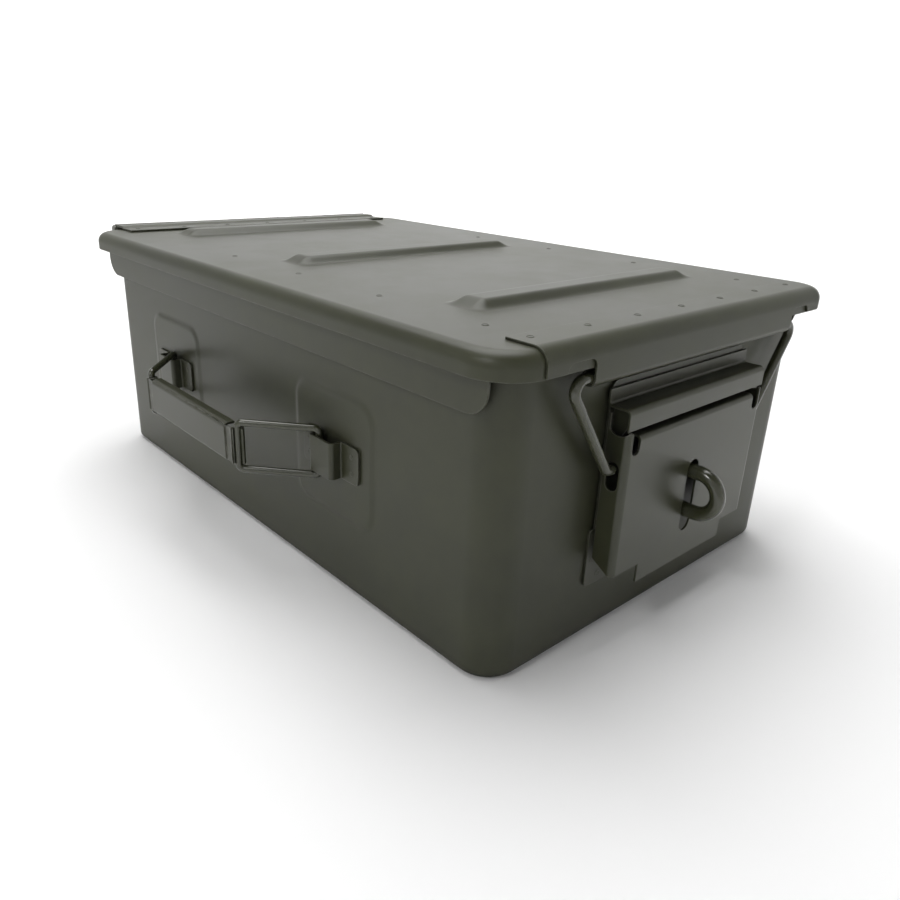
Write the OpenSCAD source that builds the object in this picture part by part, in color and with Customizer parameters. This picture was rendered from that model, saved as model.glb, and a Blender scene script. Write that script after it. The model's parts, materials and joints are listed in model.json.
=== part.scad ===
// Steel storage box with a hinged lid, an over-centre front latch and two folding side handles.
// Frame: X across the width, Y along the length (latch end at -Y, hinge end at +Y), Z up.
// The origin is the middle of the floor's underside.

/* [Case] */
// Width of the body, outside
body_w = 250; // [210:1:320]
// Length of the body, outside
body_l = 400; // [330:1:500]
// Height of the body wall, to the top of its rolled rim
body_h = 152; // [140:1:200]
// Thickness of the body sheet
body_t = 1.2; // [0.8:0.1:1.5]
// Radius of the upright corners
corner_r = 18; // [12:1:30]
// Radius of the edge round the floor
floor_r = 5; // [3:0.5:8]
// Radius of the rolled rim bead
bead_r = 2.4; // [1.8:0.1:2.8]

/* [Stamped pads] */
// How far the stamped pads stand out of the side walls
pad_out = 0.8; // [0.4:0.1:1.2]
// Side length of a stamped pad
pad_size = 70; // [60:1:80]

/* [Lid] */
// How far the lid's rim stands out past the body wall
lid_over = 12.5; // [11:0.5:16]
// Thickness of the lid sheet
lid_t = 1.2; // [0.8:0.1:1.4]
// Depth of the lid's rim
rim_depth = 11.4; // [10:0.2:14]
// Radius of the rim's top edge
rim_r = 6.5; // [4:0.5:8]
// How far the side aprons hang below the lid's top
apron_drop = 29.5; // [22:0.5:36]
// Thickness of the sealing gasket
gasket_h = 4.9; // [3.5:0.1:6]
// Width of the sealing gasket
gasket_w = 9; // [7:0.5:10]
// Number of stamped ribs across the lid
ribs = 3; // [2:1:4]
// Distance from the lid's front edge to the middle of the first rib
rib_front_gap = 75; // [60:1:90]
// Distance from the lid's rear edge to the middle of the last rib
rib_rear_gap = 53; // [39:1:60]
// Height of a stamped rib
rib_h = 4; // [2:0.5:5]
// Width of a stamped rib at its foot
rib_w = 26; // [20:1:34]

/* [Hinge] */
// Length of the hinge
hinge_l = 232; // [160:1:240]
// Diameter of the hinge pin
hinge_pin_d = 5; // [4:0.5:6]
// Thickness of the hinge leaves
leaf_t = 1.5; // [1:0.1:1.6]
// Number of knuckles
knuckles = 5; // [3:2:9]

/* [Latch] */
// Half the width of the latch lever
lever_half = 60; // [50:1:70]
// Length of the latch lever below its pivot
lever_len = 77; // [70:1:84]
// Depth of the latch lever's side flanges
lever_depth = 12; // [10:0.5:12]
// Diameter of the bail wire
bail_d = 5; // [4:0.5:6]
// Length of the bail from the lid's roll to its turned-in ends
bail_len = 47; // [42:1:52]
// Diameter of the padlock staple's rod
staple_d = 7.6; // [6:0.2:8]
// Height of the padlock staple, outside
staple_h = 29; // [26:0.5:31]

/* [Side handles] */
// Length of the grip
grip_l = 116; // [100:1:130]
// Height of the grip
grip_h = 22; // [20:1:26]
// Distance from the pads to the grip's pivots with the handle pulled out
grip_out = 33; // [31:1:33]
// How far the grip moves in when the handle is folded
grip_travel = 27; // [20:1:27]
// Height of the handles above the floor
handle_z = 77; // [60:1:90]
// Shift of the handles towards the hinge end
handle_y = 9; // [-20:1:20]
// Diameter of the link wire
link_d = 4; // [3:0.5:4]
// Length of a link between its two bars
link_l = 43.5; // [43.5:0.5:48]
// Thickness of the handle sheet
handle_t = 1.5; // [1:0.1:1.8]
// Height of the handle brackets
bracket_h = 20; // [16:1:24]

/* [Fits] */
// Radial gap of the pins and wires in their bores
fit_gap = 0.08; // [0.05:0.01:0.1]
// Gap between neighbouring pieces that move past each other
move_gap = 0.3; // [0.3:0.05:0.6]

/* [Hidden] */
$fn = 48;
$swell = 0;
olive = [0.36, 0.38, 0.33];
dark_olive = [0.30, 0.32, 0.27];
steel = [0.50, 0.51, 0.47];
rubber = [0.08, 0.08, 0.08];
eps = 0.01;
joint_swell = 0.02;

// Rounds a derived size, so that pieces built from it meet exactly
function neat(v) = round(v * 100) / 100;

// Body
half_w = body_w / 2;
half_l = body_l / 2;
bead_shift = 0.2;
bead_out = half_w + bead_shift;
pad_r = 12;

// Lid
lid_top = body_h + move_gap + gasket_h + lid_t;
lid_under = lid_top - lid_t;
rim_z = lid_top - rim_depth;
lid_half_w = half_w + lid_over;
lid_half_l = half_l + lid_over - 1.7;
lid_corner_r = corner_r + 4;
apron_gap = 1;
apron_in = bead_out + bead_r + apron_gap;
apron_half_l = half_l - 5;
gasket_half_w = apron_in - 0.4 - gasket_w / 2;
gasket_half_l = half_l + 3.2 - gasket_w / 2;
retainer_h = 8;
retainer_half_w = gasket_half_w - gasket_w / 2 - lid_t / 2 - 0.2;
retainer_half_l = gasket_half_l - gasket_w / 2 - lid_t / 2 - 0.2;
rib_side_gap = 46;
rib_half_l = lid_half_w - rib_side_gap;
rib_slope = 8;
rib_end_slope = 12;
rib_pitch = (2 * lid_half_l - rib_front_gap - rib_rear_gap) / (ribs - 1);

// Hinge axis
knuckle_r = hinge_pin_d / 2 + fit_gap + leaf_t;
hinge_y = lid_half_l + 1.2 + knuckle_r;
hinge_z = lid_top - 1.4;
knuckle_l = hinge_l / knuckles;
root_lap = 0.6;

// Latch: the lever turns about the catch axis, the bail about the roll axis
plate_t = 1.5;
latch_t = 1.2;
plate_half_w = lever_half + 1.5;
plate_low = 62;
plate_h = 78;
plate_arch_h = 27;
foot_w = 18;
foot_drop = 26;
front_y = -lid_half_l - latch_t;
roll_r = bail_d / 2 + fit_gap;
roll_y = front_y + roll_r + latch_t;
roll_z = rim_z - 5;
bail_z = roll_z - bail_len;
bail_bend = 5;
bail_top_half = 98;
bail_low_half = lever_half + 5;
roll_half = bail_top_half - 12.5;
notch_half = bail_top_half + 5.5;
front_plate_half = lid_half_w - 21.5;
catch_y = -half_l - 9;
catch_z = roll_z - 24;
hood_out = 4.6;
hood_top = 5.4;
hood_drop = 4;
hook_half = lever_half - 9;
hook_r = 2.5;
face_y = -5.4;
back_y = 5.5;
notch_drop = 14;
staple_z = catch_z - 48.5;
staple_reach = 34;
slot_w = staple_d + 2;
slot_top = -catch_z + staple_z + staple_h / 2 + 2.5;
slot_low = -catch_z + staple_z - staple_h / 2 - 8;
tab_half = 38.5;
tab_len = 10;
lever_top = -7.9;

// Side handles, measured out from the pads' faces
pad_face = half_w + pad_out;
curl_r = link_d / 2 + fit_gap;
grip_pivot = grip_l / 2 - curl_r - handle_t;
bar_in = 4;
link_angle = asin((grip_out - bar_in) / link_l);
link_half_h = bracket_h / 2 + 3;
link_bend = link_d / 2 + 0.8;
bar_pulled = grip_pivot + link_l * cos(link_angle);
bar_folded = grip_pivot + link_l * cos(asin((grip_out - grip_travel - bar_in) / link_l));
bracket_y = neat((bar_pulled + bar_folded) / 2);
tunnel_half = neat((bar_folded - bar_pulled) / 2) + link_d / 2 + 1.1;
tunnel_out = bar_in + link_d / 2 + 0.45;
foot_l = 15;
grip_depth = 6.5;

// Turns (y, z) drawings, raised along X, into the model's frame
module across() rotate([90, 0, 90]) children();

// Turns (x, z) drawings into the model's frame
module upright() rotate([90, 0, 0]) children();

function turn_at(p, i) =
    let (
        n = len(p),
        u = p[i] - p[(i + n - 1) % n],
        v = p[(i + 1) % n] - p[i]
    )
    atan2(u.x * v.y - u.y * v.x, u * v);

function trim_at(p, i, bend, closed) =
    !closed && (i == 0 || i == len(p) - 1) ? 0 : bend * tan(abs(turn_at(p, i)) / 2);

// Carries a section along a flat path of straights and round bends. The section's X is on the left
// of the path. Bends are a hair thicker than straights, by $swell, where their ends can't match exactly
module run(p, bend, closed = false, swell = 0) {
    n = len(p);
    lap = swell > 0 ? 0.2 : 0;
    for (i = [0:closed ? n - 1 : n - 2]) {
        a = p[i];
        b = p[(i + 1) % n];
        dir = (b - a) / norm(b - a);
        lap_a = !closed && i == 0 ? 0 : lap;
        lap_b = !closed && i == n - 2 ? 0 : lap;
        from = a + dir * (trim_at(p, i, bend, closed) - lap_a);
        to = b - dir * (trim_at(p, (i + 1) % n, bend, closed) - lap_b);
        if (norm(to - from) > lap + eps)
            translate([from.x, from.y, 0])
                rotate([0, 0, atan2(dir.y, dir.x)])
                    rotate([90, 0, 90])
                        linear_extrude(norm(to - from), $swell = 0) children($swell = 0);
    }
    for (i = [closed ? 0 : 1:closed ? n - 1 : n - 2]) {
        turn = turn_at(p, i);
        u = (p[i] - p[(i + n - 1) % n]) / norm(p[i] - p[(i + n - 1) % n]);
        side = sign(turn);
        start = p[i] - u * trim_at(p, i, bend, closed);
        centre = start + side * bend * [-u.y, u.x];
        heading = atan2(u.y, u.x);
        translate([centre.x, centre.y, 0])
            rotate([0, 0, side > 0 ? heading - 90 : heading + 90 + turn])
                rotate_extrude(angle = abs(turn))
                    translate([bend, 0])
                        mirror([side > 0 ? 1 : 0, 0]) children($swell = swell);
    }
}

// Bends a sheet of thickness t and width w along a path of its middle surface
module sheet(p, t, w, bend, swell = 0) {
    run(p, bend, false, swell) square([t + 2 * $swell, w + 2 * $swell], center = true);
}

// Bends a wire of diameter d along a path
module wire(p, d, bend, closed = false, swell = 0) {
    run(p, bend, closed, swell) circle(d / 2 + $swell);
}

module rounded_rect(w, l, r) {
    square([w - 2 * r, l], center = true);
    square([w, l - 2 * r], center = true);
    for (x = [-1, 1])
        for (y = [-1, 1])
            translate([x * (w / 2 - r), y * (l / 2 - r)]) circle(r);
}

// Carries a section, drawn with X outwards, round a rectangle with round corners
module ring_run(x, y, r) {
    run([[x, y], [-x, y], [-x, -y], [x, -y]], r, true) mirror([1, 0]) children();
}

// A quarter of a flat ring, from the X axis to the Y axis
module quarter_ring(r, t) {
    intersection() {
        difference() {
            circle(r);
            circle(r - t);
        }
        square(r + 1);
    }
}

// Body
module body_shell() {
    wall_top = body_h - bead_r;
    color(olive) {
        linear_extrude(body_t)
            rounded_rect(body_w - 2 * floor_r, body_l - 2 * floor_r, corner_r - floor_r);
        ring_run(half_w - floor_r, half_l - floor_r, corner_r - floor_r) {
            translate([0, floor_r]) mirror([0, 1]) quarter_ring(floor_r, body_t);
            translate([floor_r - body_t, floor_r]) square([body_t, wall_top - floor_r]);
            translate([floor_r + bead_shift, wall_top]) circle(bead_r);
        }
        for (side = [-1, 1])
            for (end = [-1, 1])
                translate([side * (half_w + pad_out / 2), handle_y + end * bracket_y, handle_z])
                    rotate([0, 90, 0])
                        linear_extrude(pad_out, center = true)
                            rounded_rect(pad_size, pad_size, pad_r);
    }
}

module latch_catch_plate() {
    color(dark_olive)
        translate([0, -half_l, 0])
            upright()
                linear_extrude(plate_t)
                    difference() {
                        translate([-plate_half_w, catch_z - plate_low])
                            square([2 * plate_half_w, plate_h]);
                        translate([foot_w - plate_half_w, catch_z - plate_low - 1])
                            square([2 * (plate_half_w - foot_w), plate_arch_h + 1]);
                    }
    color(dark_olive)
        for (side = [-1, 1])
            translate([side * (plate_half_w - foot_w / 2), -half_l, catch_z - plate_low])
                upright()
                    linear_extrude(plate_t)
                        translate([-foot_w / 2, -foot_drop]) square([foot_w, foot_drop + 1]);
}

// Hood that the lever's rolled edge turns in, with its two ears
module latch_catch_hood() {
    plate_y = -half_l - plate_t - catch_y;
    ear_half = lever_half - 5;
    ear = [
        [plate_y, hood_top], [-3.4, hood_top], [-3.4, -1], [3, -11], [plate_y, -11],
    ];
    color(dark_olive)
        translate([0, catch_y, catch_z])
            across() {
                sheet(
                    [
                        [plate_y - latch_t / 2, 13], [plate_y - latch_t / 2, hood_top],
                        [-hood_out, hood_top], [-hood_out, -hood_drop],
                    ],
                    latch_t, 2 * lever_half, 2
                );
                for (side = [-1, 1])
                    translate([0, 0, side * ear_half])
                        linear_extrude(latch_t, center = true) polygon(ear);
            }
}

module padlock_staple() {
    leg = staple_h / 2 - staple_d / 2;
    reach = staple_reach - staple_d / 2;
    color(steel)
        translate([0, -half_l, staple_z])
            rotate([0, 90, 0])
                wire(
                    [[-leg, -plate_t], [-leg, -reach], [leg, -reach], [leg, -plate_t]],
                    staple_d, leg - eps
                );
}

// Latch lever, drawn about the catch axis
module latch_lever() {
    flange = [
        [face_y - latch_t / 2, lever_top - 2.6], [-3, lever_top + latch_t / 2],
        [back_y - latch_t / 2, lever_top + latch_t / 2], [back_y - latch_t / 2, hook_r],
        [back_y + latch_t / 2, hook_r], [back_y + latch_t / 2, 6 - lever_len],
        [-3.5, -lever_len], [face_y - latch_t / 2, -lever_len],
    ];
    color(olive)
        translate([0, catch_y, catch_z])
            difference() {
                union() {
                    across() {
                        linear_extrude(2 * hook_half, center = true) circle(hook_r);
                        sheet(
                            [
                                [0, hook_r - latch_t / 2], [back_y, hook_r - latch_t / 2],
                                [back_y, lever_top], [face_y, lever_top],
                                [face_y, -notch_drop - 1],
                            ],
                            latch_t, 2 * hook_half, 1.9
                        );
                        for (side = [-1, 1])
                            translate([0, 0, side * (lever_half - latch_t / 2)])
                                linear_extrude(latch_t, center = true) polygon(flange);
                    }
                    translate([-lever_half, face_y - latch_t / 2, -lever_len])
                        cube([2 * lever_half, latch_t, lever_len - notch_drop]);
                    translate([-tab_half, face_y - latch_t / 2, -lever_len - tab_len])
                        cube([2 * tab_half, latch_t, tab_len + 1]);
                }
                translate([0, 0, (slot_top + slot_low) / 2])
                    upright()
                        linear_extrude(40, center = true)
                            rounded_rect(slot_w, slot_top - slot_low, slot_w / 2 - eps);
                translate([0, roll_y - catch_y, bail_z - catch_z - 4])
                    rotate([0, 90, 0])
                        linear_extrude(3 * lever_half, center = true)
                            rounded_rect(14, bail_d + 1.4, bail_d / 2 + 0.6);
            }
}

// Bail, captive in the lid's front roll
module latch_bail() {
    end_half = lever_half + move_gap;
    color(steel)
        translate([0, roll_y, 0])
            upright()
                wire(
                    [
                        [-end_half, bail_z], [-bail_low_half, bail_z], [-bail_top_half, roll_z],
                        [bail_top_half, roll_z], [bail_low_half, bail_z], [end_half, bail_z],
                    ],
                    bail_d, bail_bend, false, joint_swell
                );
}

// Solid with the outer shape of a stamped rib, its foot at z = 0
module rib_block(h) {
    foot = 1;
    intersection() {
        across()
            linear_extrude(2 * rib_half_l, center = true)
                polygon([
                    [-rib_w / 2, -foot], [rib_w / 2, -foot], [rib_w / 2, 0],
                    [rib_w / 2 - rib_slope, h], [rib_slope - rib_w / 2, h], [-rib_w / 2, 0],
                ]);
        upright()
            linear_extrude(2 * rib_w, center = true)
                polygon([
                    [-rib_half_l, -foot], [rib_half_l, -foot], [rib_half_l, 0],
                    [rib_half_l - rib_end_slope, h], [rib_end_slope - rib_half_l, h],
                    [-rib_half_l, 0],
                ]);
    }
}

module rib_row() {
    for (i = [0:ribs - 1])
        translate([0, -lid_half_l + rib_front_gap + i * rib_pitch, 0]) children();
}

module lid_pan() {
    color(olive) {
        ring_run(lid_half_w - rim_r, lid_half_l - rim_r, lid_corner_r - rim_r) {
            translate([0, lid_top - rim_r]) quarter_ring(rim_r, lid_t);
            translate([rim_r - lid_t, rim_z]) square([lid_t, rim_depth - rim_r]);
        }
        difference() {
            union() {
                translate([0, 0, lid_under])
                    linear_extrude(lid_t)
                        rounded_rect(
                            2 * (lid_half_w - rim_r), 2 * (lid_half_l - rim_r), lid_corner_r - rim_r
                        );
                rib_row() translate([0, 0, lid_top]) rib_block(rib_h);
            }
            rib_row() translate([0, 0, lid_under]) rib_block(rib_h);
        }
    }
}

module lid_apron(side) {
    corner = 12;
    color(olive)
        translate([side * (apron_in + lid_t / 2), 0, 0])
            rotate([90, 0, 90])
                linear_extrude(lid_t, center = true) {
                    translate([-apron_half_l, lid_top - apron_drop + corner])
                        square([2 * apron_half_l, apron_drop - lid_t - corner]);
                    translate([corner - apron_half_l, lid_top - apron_drop])
                        square([2 * apron_half_l - 2 * corner, apron_drop - lid_t]);
                    for (end = [-1, 1])
                        translate([end * (apron_half_l - corner), lid_top - apron_drop + corner])
                            circle(corner);
                }
}

module lid_apron_left() lid_apron(-1);
module lid_apron_right() lid_apron(1);

module gasket_retainer() {
    color(dark_olive)
        translate([0, 0, lid_under - retainer_h / 2])
            ring_run(retainer_half_w, retainer_half_l, corner_r - gasket_w)
                square([lid_t, retainer_h], center = true);
}

module lid_gasket() {
    color(rubber)
        translate([0, 0, lid_under - gasket_h / 2])
            ring_run(gasket_half_w, gasket_half_l, corner_r - gasket_w / 2)
                square([gasket_w, gasket_h], center = true);
}

// Plate over the lid's front edge, rolled round the bail's crossbar
module lid_front_plate() {
    back = -lid_half_l + 21.8;
    mid_y = front_y + latch_t / 2;
    mid_z = lid_top + latch_t / 2;
    side_z = rim_z + 0.5;
    notch_w = notch_half - roll_half;
    notch_h = 12;
    notch_rise = 4;
    color(olive) {
        difference() {
            across()
                sheet(
                    [[back, mid_z], [mid_y, mid_z], [mid_y, side_z]],
                    latch_t, 2 * front_plate_half, rim_r + latch_t / 2
                );
            for (side = [-1, 1])
                translate([
                    side * (roll_half + notch_w / 2), front_y - 1, side_z + notch_rise - notch_h / 2
                ])
                    upright()
                        mirror([0, 0, 1])
                            linear_extrude(2 + latch_t) rounded_rect(notch_w, notch_h, notch_rise);
        }
        translate([-roll_half, front_y, roll_z])
            cube([2 * roll_half, latch_t, side_z - roll_z]);
        translate([0, roll_y, roll_z])
            across()
                translate([0, 0, -roll_half])
                    rotate([0, 0, 180])
                        rotate_extrude(angle = 235)
                            translate([roll_r, 0]) square([latch_t, 2 * roll_half]);
    }
}

// One group of knuckles: every second one, starting at first
module knuckle_group(first) {
    for (i = [first:2:knuckles - 1])
        translate([0, 0, -hinge_l / 2 + i * knuckle_l + move_gap / 2])
            linear_extrude(knuckle_l - move_gap)
                difference() {
                    children();
                    circle(hinge_pin_d / 2 + fit_gap);
                }
}

module hinge_leaf_lid() {
    step_y = hinge_y - 15;
    mid_z = lid_top + leaf_t / 2;
    strap_z = hinge_z + knuckle_r - leaf_t / 2;
    clear_y = hinge_y - knuckle_r - 0.5;
    color(dark_olive) {
        across()
            sheet(
                [
                    [step_y - 16, mid_z], [step_y, mid_z],
                    [step_y + 2, strap_z], [clear_y, strap_z],
                ],
                leaf_t, hinge_l - move_gap, leaf_t, joint_swell
            );
        translate([0, hinge_y, hinge_z])
            across()
                knuckle_group(1) {
                    union() {
                        circle(knuckle_r);
                        translate([clear_y - hinge_y - root_lap, knuckle_r - leaf_t])
                            square([hinge_y - clear_y + root_lap, leaf_t]);
                    }
                }
    }
}

module hinge_leaf_body() {
    shelf_z = hinge_z - 14.5;
    back = knuckle_r - leaf_t / 2;
    wall_y = half_l + leaf_t / 2 - hinge_y;
    join_z = -knuckle_r - 1.5;
    color(dark_olive)
        translate([0, hinge_y, hinge_z])
            across() {
                sheet(
                    [
                        [wall_y, -44], [wall_y, shelf_z - hinge_z],
                        [back, shelf_z - hinge_z], [back, join_z],
                    ],
                    leaf_t, hinge_l - move_gap, leaf_t
                );
                knuckle_group(0) {
                    union() {
                        circle(knuckle_r);
                        translate([knuckle_r - leaf_t, join_z - root_lap])
                            square([leaf_t, root_lap - join_z]);
                    }
                }
            }
}

module hinge_pin() {
    head_d = hinge_pin_d + 2;
    head_t = 1.6;
    color(steel)
        translate([0, hinge_y, hinge_z])
            across() {
                linear_extrude(hinge_l, center = true) circle(hinge_pin_d / 2);
                for (side = [-1, 1])
                    translate([0, 0, side * (hinge_l + head_t) / 2])
                        linear_extrude(head_t, center = true) circle(head_d / 2);
            }
}

// Places a handle piece drawn with X out from the pads and Y from the handle's middle
module at_side(side) {
    translate([side * pad_face, handle_y, handle_z])
        mirror([side < 0 ? 1 : 0, 0, 0]) children();
}

module bracket(side, end) {
    foot_in = tunnel_half + handle_t / 2;
    web_x = tunnel_out + handle_t / 2;
    foot_out = foot_in + foot_l;
    color(olive)
        at_side(side)
            translate([0, end * bracket_y, 0])
                sheet(
                    [
                        [handle_t / 2, -foot_out], [handle_t / 2, -foot_in], [web_x, -foot_in],
                        [web_x, foot_in], [handle_t / 2, foot_in], [handle_t / 2, foot_out],
                    ],
                    handle_t, bracket_h, 1.6
                );
}

// Wire loop with one bar in the grip's end and the other free in the bracket's tunnel
module link(side, end) {
    color(steel)
        at_side(side)
            translate([grip_out, end * grip_pivot, 0])
                mirror([0, end < 0 ? 1 : 0, 0])
                    rotate([0, 0, 90 + link_angle])
                        upright()
                            wire(
                                [
                                    [0, -link_half_h], [link_l, -link_half_h],
                                    [link_l, link_half_h], [0, link_half_h],
                                ],
                                link_d, link_bend, true
                            );
}

module grip(side) {
    web_x = grip_out + curl_r + handle_t / 2;
    flange_half = grip_pivot - 8;
    color(olive)
        at_side(side) {
            translate([web_x - handle_t / 2, -grip_pivot, -bracket_h / 2])
                cube([handle_t, 2 * grip_pivot, bracket_h]);
            translate([web_x + handle_t / 2 - grip_depth, -flange_half, -grip_h / 2])
                difference() {
                    cube([grip_depth, 2 * flange_half, grip_h]);
                    translate([-1, -1, handle_t])
                        cube([grip_depth + 1 - handle_t, 2 * flange_half + 2, grip_h - 2 * handle_t]);
                }
            for (end = [-1, 1])
                translate([grip_out, end * grip_pivot, -bracket_h / 2])
                    mirror([0, end < 0 ? 1 : 0, 0])
                        rotate([0, 0, -170])
                            rotate_extrude(angle = 260)
                                translate([curl_r, 0]) square([handle_t, bracket_h]);
        }
}

module left_front_bracket() bracket(-1, -1);
module left_rear_bracket() bracket(-1, 1);
module right_front_bracket() bracket(1, -1);
module right_rear_bracket() bracket(1, 1);
module left_front_link() link(-1, -1);
module left_rear_link() link(-1, 1);
module right_front_link() link(1, -1);
module right_rear_link() link(1, 1);
module left_grip() grip(-1);
module right_grip() grip(1);

body_shell();
latch_catch_plate();
latch_catch_hood();
padlock_staple();
hinge_leaf_body();
hinge_pin();
lid_pan();
lid_apron_left();
lid_apron_right();
gasket_retainer();
lid_gasket();
lid_front_plate();
hinge_leaf_lid();
latch_bail();
latch_lever();
left_front_bracket();
left_rear_bracket();
right_front_bracket();
right_rear_bracket();
left_front_link();
left_rear_link();
right_front_link();
right_rear_link();
left_grip();
right_grip();
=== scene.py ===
# %% [markdown]
# # A steel storage box with a hinged lid
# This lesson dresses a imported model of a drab-green pressed-steel box. The box has a hinged lid
# with stamped ribs, an over-centre latch on its front and a folding handle on each long side.
# Every dressed piece takes its place from the frame, so it moves with the body it belongs to.

# %% Load the frame
import json
import math

import bmesh
import bpy
from mathutils import Matrix, Vector

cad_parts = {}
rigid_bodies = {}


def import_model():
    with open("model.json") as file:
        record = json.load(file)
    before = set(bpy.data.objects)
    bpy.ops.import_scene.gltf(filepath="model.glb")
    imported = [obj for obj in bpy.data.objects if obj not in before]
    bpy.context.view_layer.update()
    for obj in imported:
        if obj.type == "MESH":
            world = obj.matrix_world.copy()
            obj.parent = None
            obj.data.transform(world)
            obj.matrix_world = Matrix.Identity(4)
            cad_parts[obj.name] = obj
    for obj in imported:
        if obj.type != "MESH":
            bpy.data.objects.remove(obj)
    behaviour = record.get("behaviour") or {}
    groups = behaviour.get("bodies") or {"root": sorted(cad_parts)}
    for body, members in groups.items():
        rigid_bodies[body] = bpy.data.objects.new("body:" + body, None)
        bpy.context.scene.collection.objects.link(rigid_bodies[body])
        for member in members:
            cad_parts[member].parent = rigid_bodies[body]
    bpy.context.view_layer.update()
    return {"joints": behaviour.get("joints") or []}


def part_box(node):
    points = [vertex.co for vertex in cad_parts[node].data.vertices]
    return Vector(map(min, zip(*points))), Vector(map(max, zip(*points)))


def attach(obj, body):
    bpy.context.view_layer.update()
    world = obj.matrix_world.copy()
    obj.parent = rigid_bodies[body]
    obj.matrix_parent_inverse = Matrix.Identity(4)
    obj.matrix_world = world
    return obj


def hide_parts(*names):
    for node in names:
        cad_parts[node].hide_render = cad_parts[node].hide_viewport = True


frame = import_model()

# %% [markdown]
# ## Working in millimetres
# A sheet-metal worker thinks in millimetres, but the frame is in metres. The helpers below read
# the frame's boxes as millimetres, and every mesh is scaled once, when it is made.

# %% Measure the frame
MM = 0.001
STEEL = 1.2
HANDLE_STEEL = 1.5


def span(node):
    """Lowest and highest corner of a node, in millimetres."""
    low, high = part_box(node)
    return low / MM, high / MM


pivots = {j["name"]: Vector(j["pos_m"]) / MM for j in frame["joints"] if "pos_m" in j}
shell_low, shell_high = span("body_shell")
lid_low, lid_high = span("lid_pan")
print("box body:", [round(v, 1) for v in shell_high - shell_low], "mm")
print("lid:", [round(v, 1) for v in lid_high - lid_low], "mm")

# %% [markdown]
# ## Turning points into a finished piece
# Each piece starts as lists of points and faces. The normals are set to point outwards, and
# only edges sharper than a set angle stay crisp. Modifiers such as Boolean and Bevel are then
# baked into a plain mesh, so that nothing is left live on the piece.

# %% Make meshes
SAME_PLACE = 0.002


def new_object(name, data):
    """An object in the scene that shows the given data."""
    made = bpy.data.objects.new(name, data)
    bpy.context.scene.collection.objects.link(made)
    return made


def new_piece(name, points, faces=(), edges=(), outward=True):
    """A mesh object from points in millimetres."""
    mesh = bpy.data.meshes.new(name)
    mesh.from_pydata([[c * MM for c in p] for p in points], edges, faces)
    piece = new_object(name, mesh)
    if outward:
        face_outward(piece)
    return piece


def face_outward(piece):
    """Merges doubled points and turns every face outwards."""
    shell = bmesh.new()
    shell.from_mesh(piece.data)
    bmesh.ops.remove_doubles(shell, verts=shell.verts, dist=SAME_PLACE * MM)
    bmesh.ops.recalc_face_normals(shell, faces=shell.faces)
    shell.to_mesh(piece.data)
    shell.free()


print("points nearer than", SAME_PLACE, "mm are merged")

# %% Settle, soften and carve them
SOFT_EDGE = 0.3
SAME_PLANE = math.radians(0.4)


def settle(piece):
    """Bakes the live modifiers into the mesh."""
    bpy.context.view_layer.update()
    evaluated = piece.evaluated_get(bpy.context.evaluated_depsgraph_get())
    finished = bpy.data.meshes.new_from_object(evaluated)
    piece.modifiers.clear()
    piece.data = finished
    return piece


def soften(piece, width=SOFT_EDGE, angle=45):
    """Rounds the edges that are sharper than the angle, as paint and tumbling do."""
    edge = piece.modifiers.new("soft_edges", "BEVEL")
    edge.width = width * MM
    edge.segments = 2
    edge.limit_method = "ANGLE"
    edge.angle_limit = math.radians(angle)
    edge.use_clamp_overlap = False
    return settle(piece)


def carve(piece, tools, operation="DIFFERENCE"):
    """Cuts the tools from a piece, or adds them to it, and throws the tools away."""
    for tool in tools:
        cut = piece.modifiers.new("cut", "BOOLEAN")
        cut.object = tool
        cut.operation = operation
        cut.solver = "EXACT"
    settle(piece)
    for tool in tools:
        bpy.data.objects.remove(tool)
    face_outward(piece)
    return piece


def merge_flats(piece):
    """Joins the flat faces that a union leaves side by side."""
    shell = bmesh.new()
    shell.from_mesh(piece.data)
    bmesh.ops.dissolve_limit(shell, angle_limit=SAME_PLANE, verts=shell.verts, edges=shell.edges)
    shell.to_mesh(piece.data)
    shell.free()


print("edges are rounded by", SOFT_EDGE, "mm")

# %% Dress a finished piece
CREASE = math.radians(38)


def dress(piece, body, slot, material, *nodes):
    """Gives a piece its finish, its body and the nodes that it stands for."""
    piece.data.materials.clear()
    piece.data.materials.append(material)
    piece.data.shade_smooth()
    piece.data.set_sharp_from_angle(angle=CREASE)
    flats = piece.modifiers.new("flat_faces_stay_flat", "WEIGHTED_NORMAL")
    flats.keep_sharp = True
    flats.weight = 80
    settle(piece)
    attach(piece, body)
    if nodes:
        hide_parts(*nodes)
    print(piece.name, "rides on", body, "with", len(piece.data.polygons), "faces")
    return piece


print("edges sharper than", round(math.degrees(CREASE)), "degrees stay crisp")

# %% [markdown]
# ## Bending sheet along a path
# Nearly all of the box is sheet that was bent on a press. In the workshop that is a flat blank
# and a few folds, so the helper does the same: it rounds the corners of a path, then carries a
# section along it. A section's own edges are rounded, which gives the thin highlight that
# painted sheet has. A cylinder or a cube would have no such edge.

# %% Round a path
ARC_STEP = math.radians(11)
EDGE_TURNS = [math.radians(a) for a in (0, 30, 60, 90)]
LEAST_RADIUS = 0.02
# How a path's two numbers and its section's width lie, for each way that a path can run.
PLACES = {
    "across": lambda a, b, c: (c, a, b),
    "plan": lambda a, b, c: (a, b, c),
    "front": lambda a, b, c: (a, c, b),
}


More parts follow.
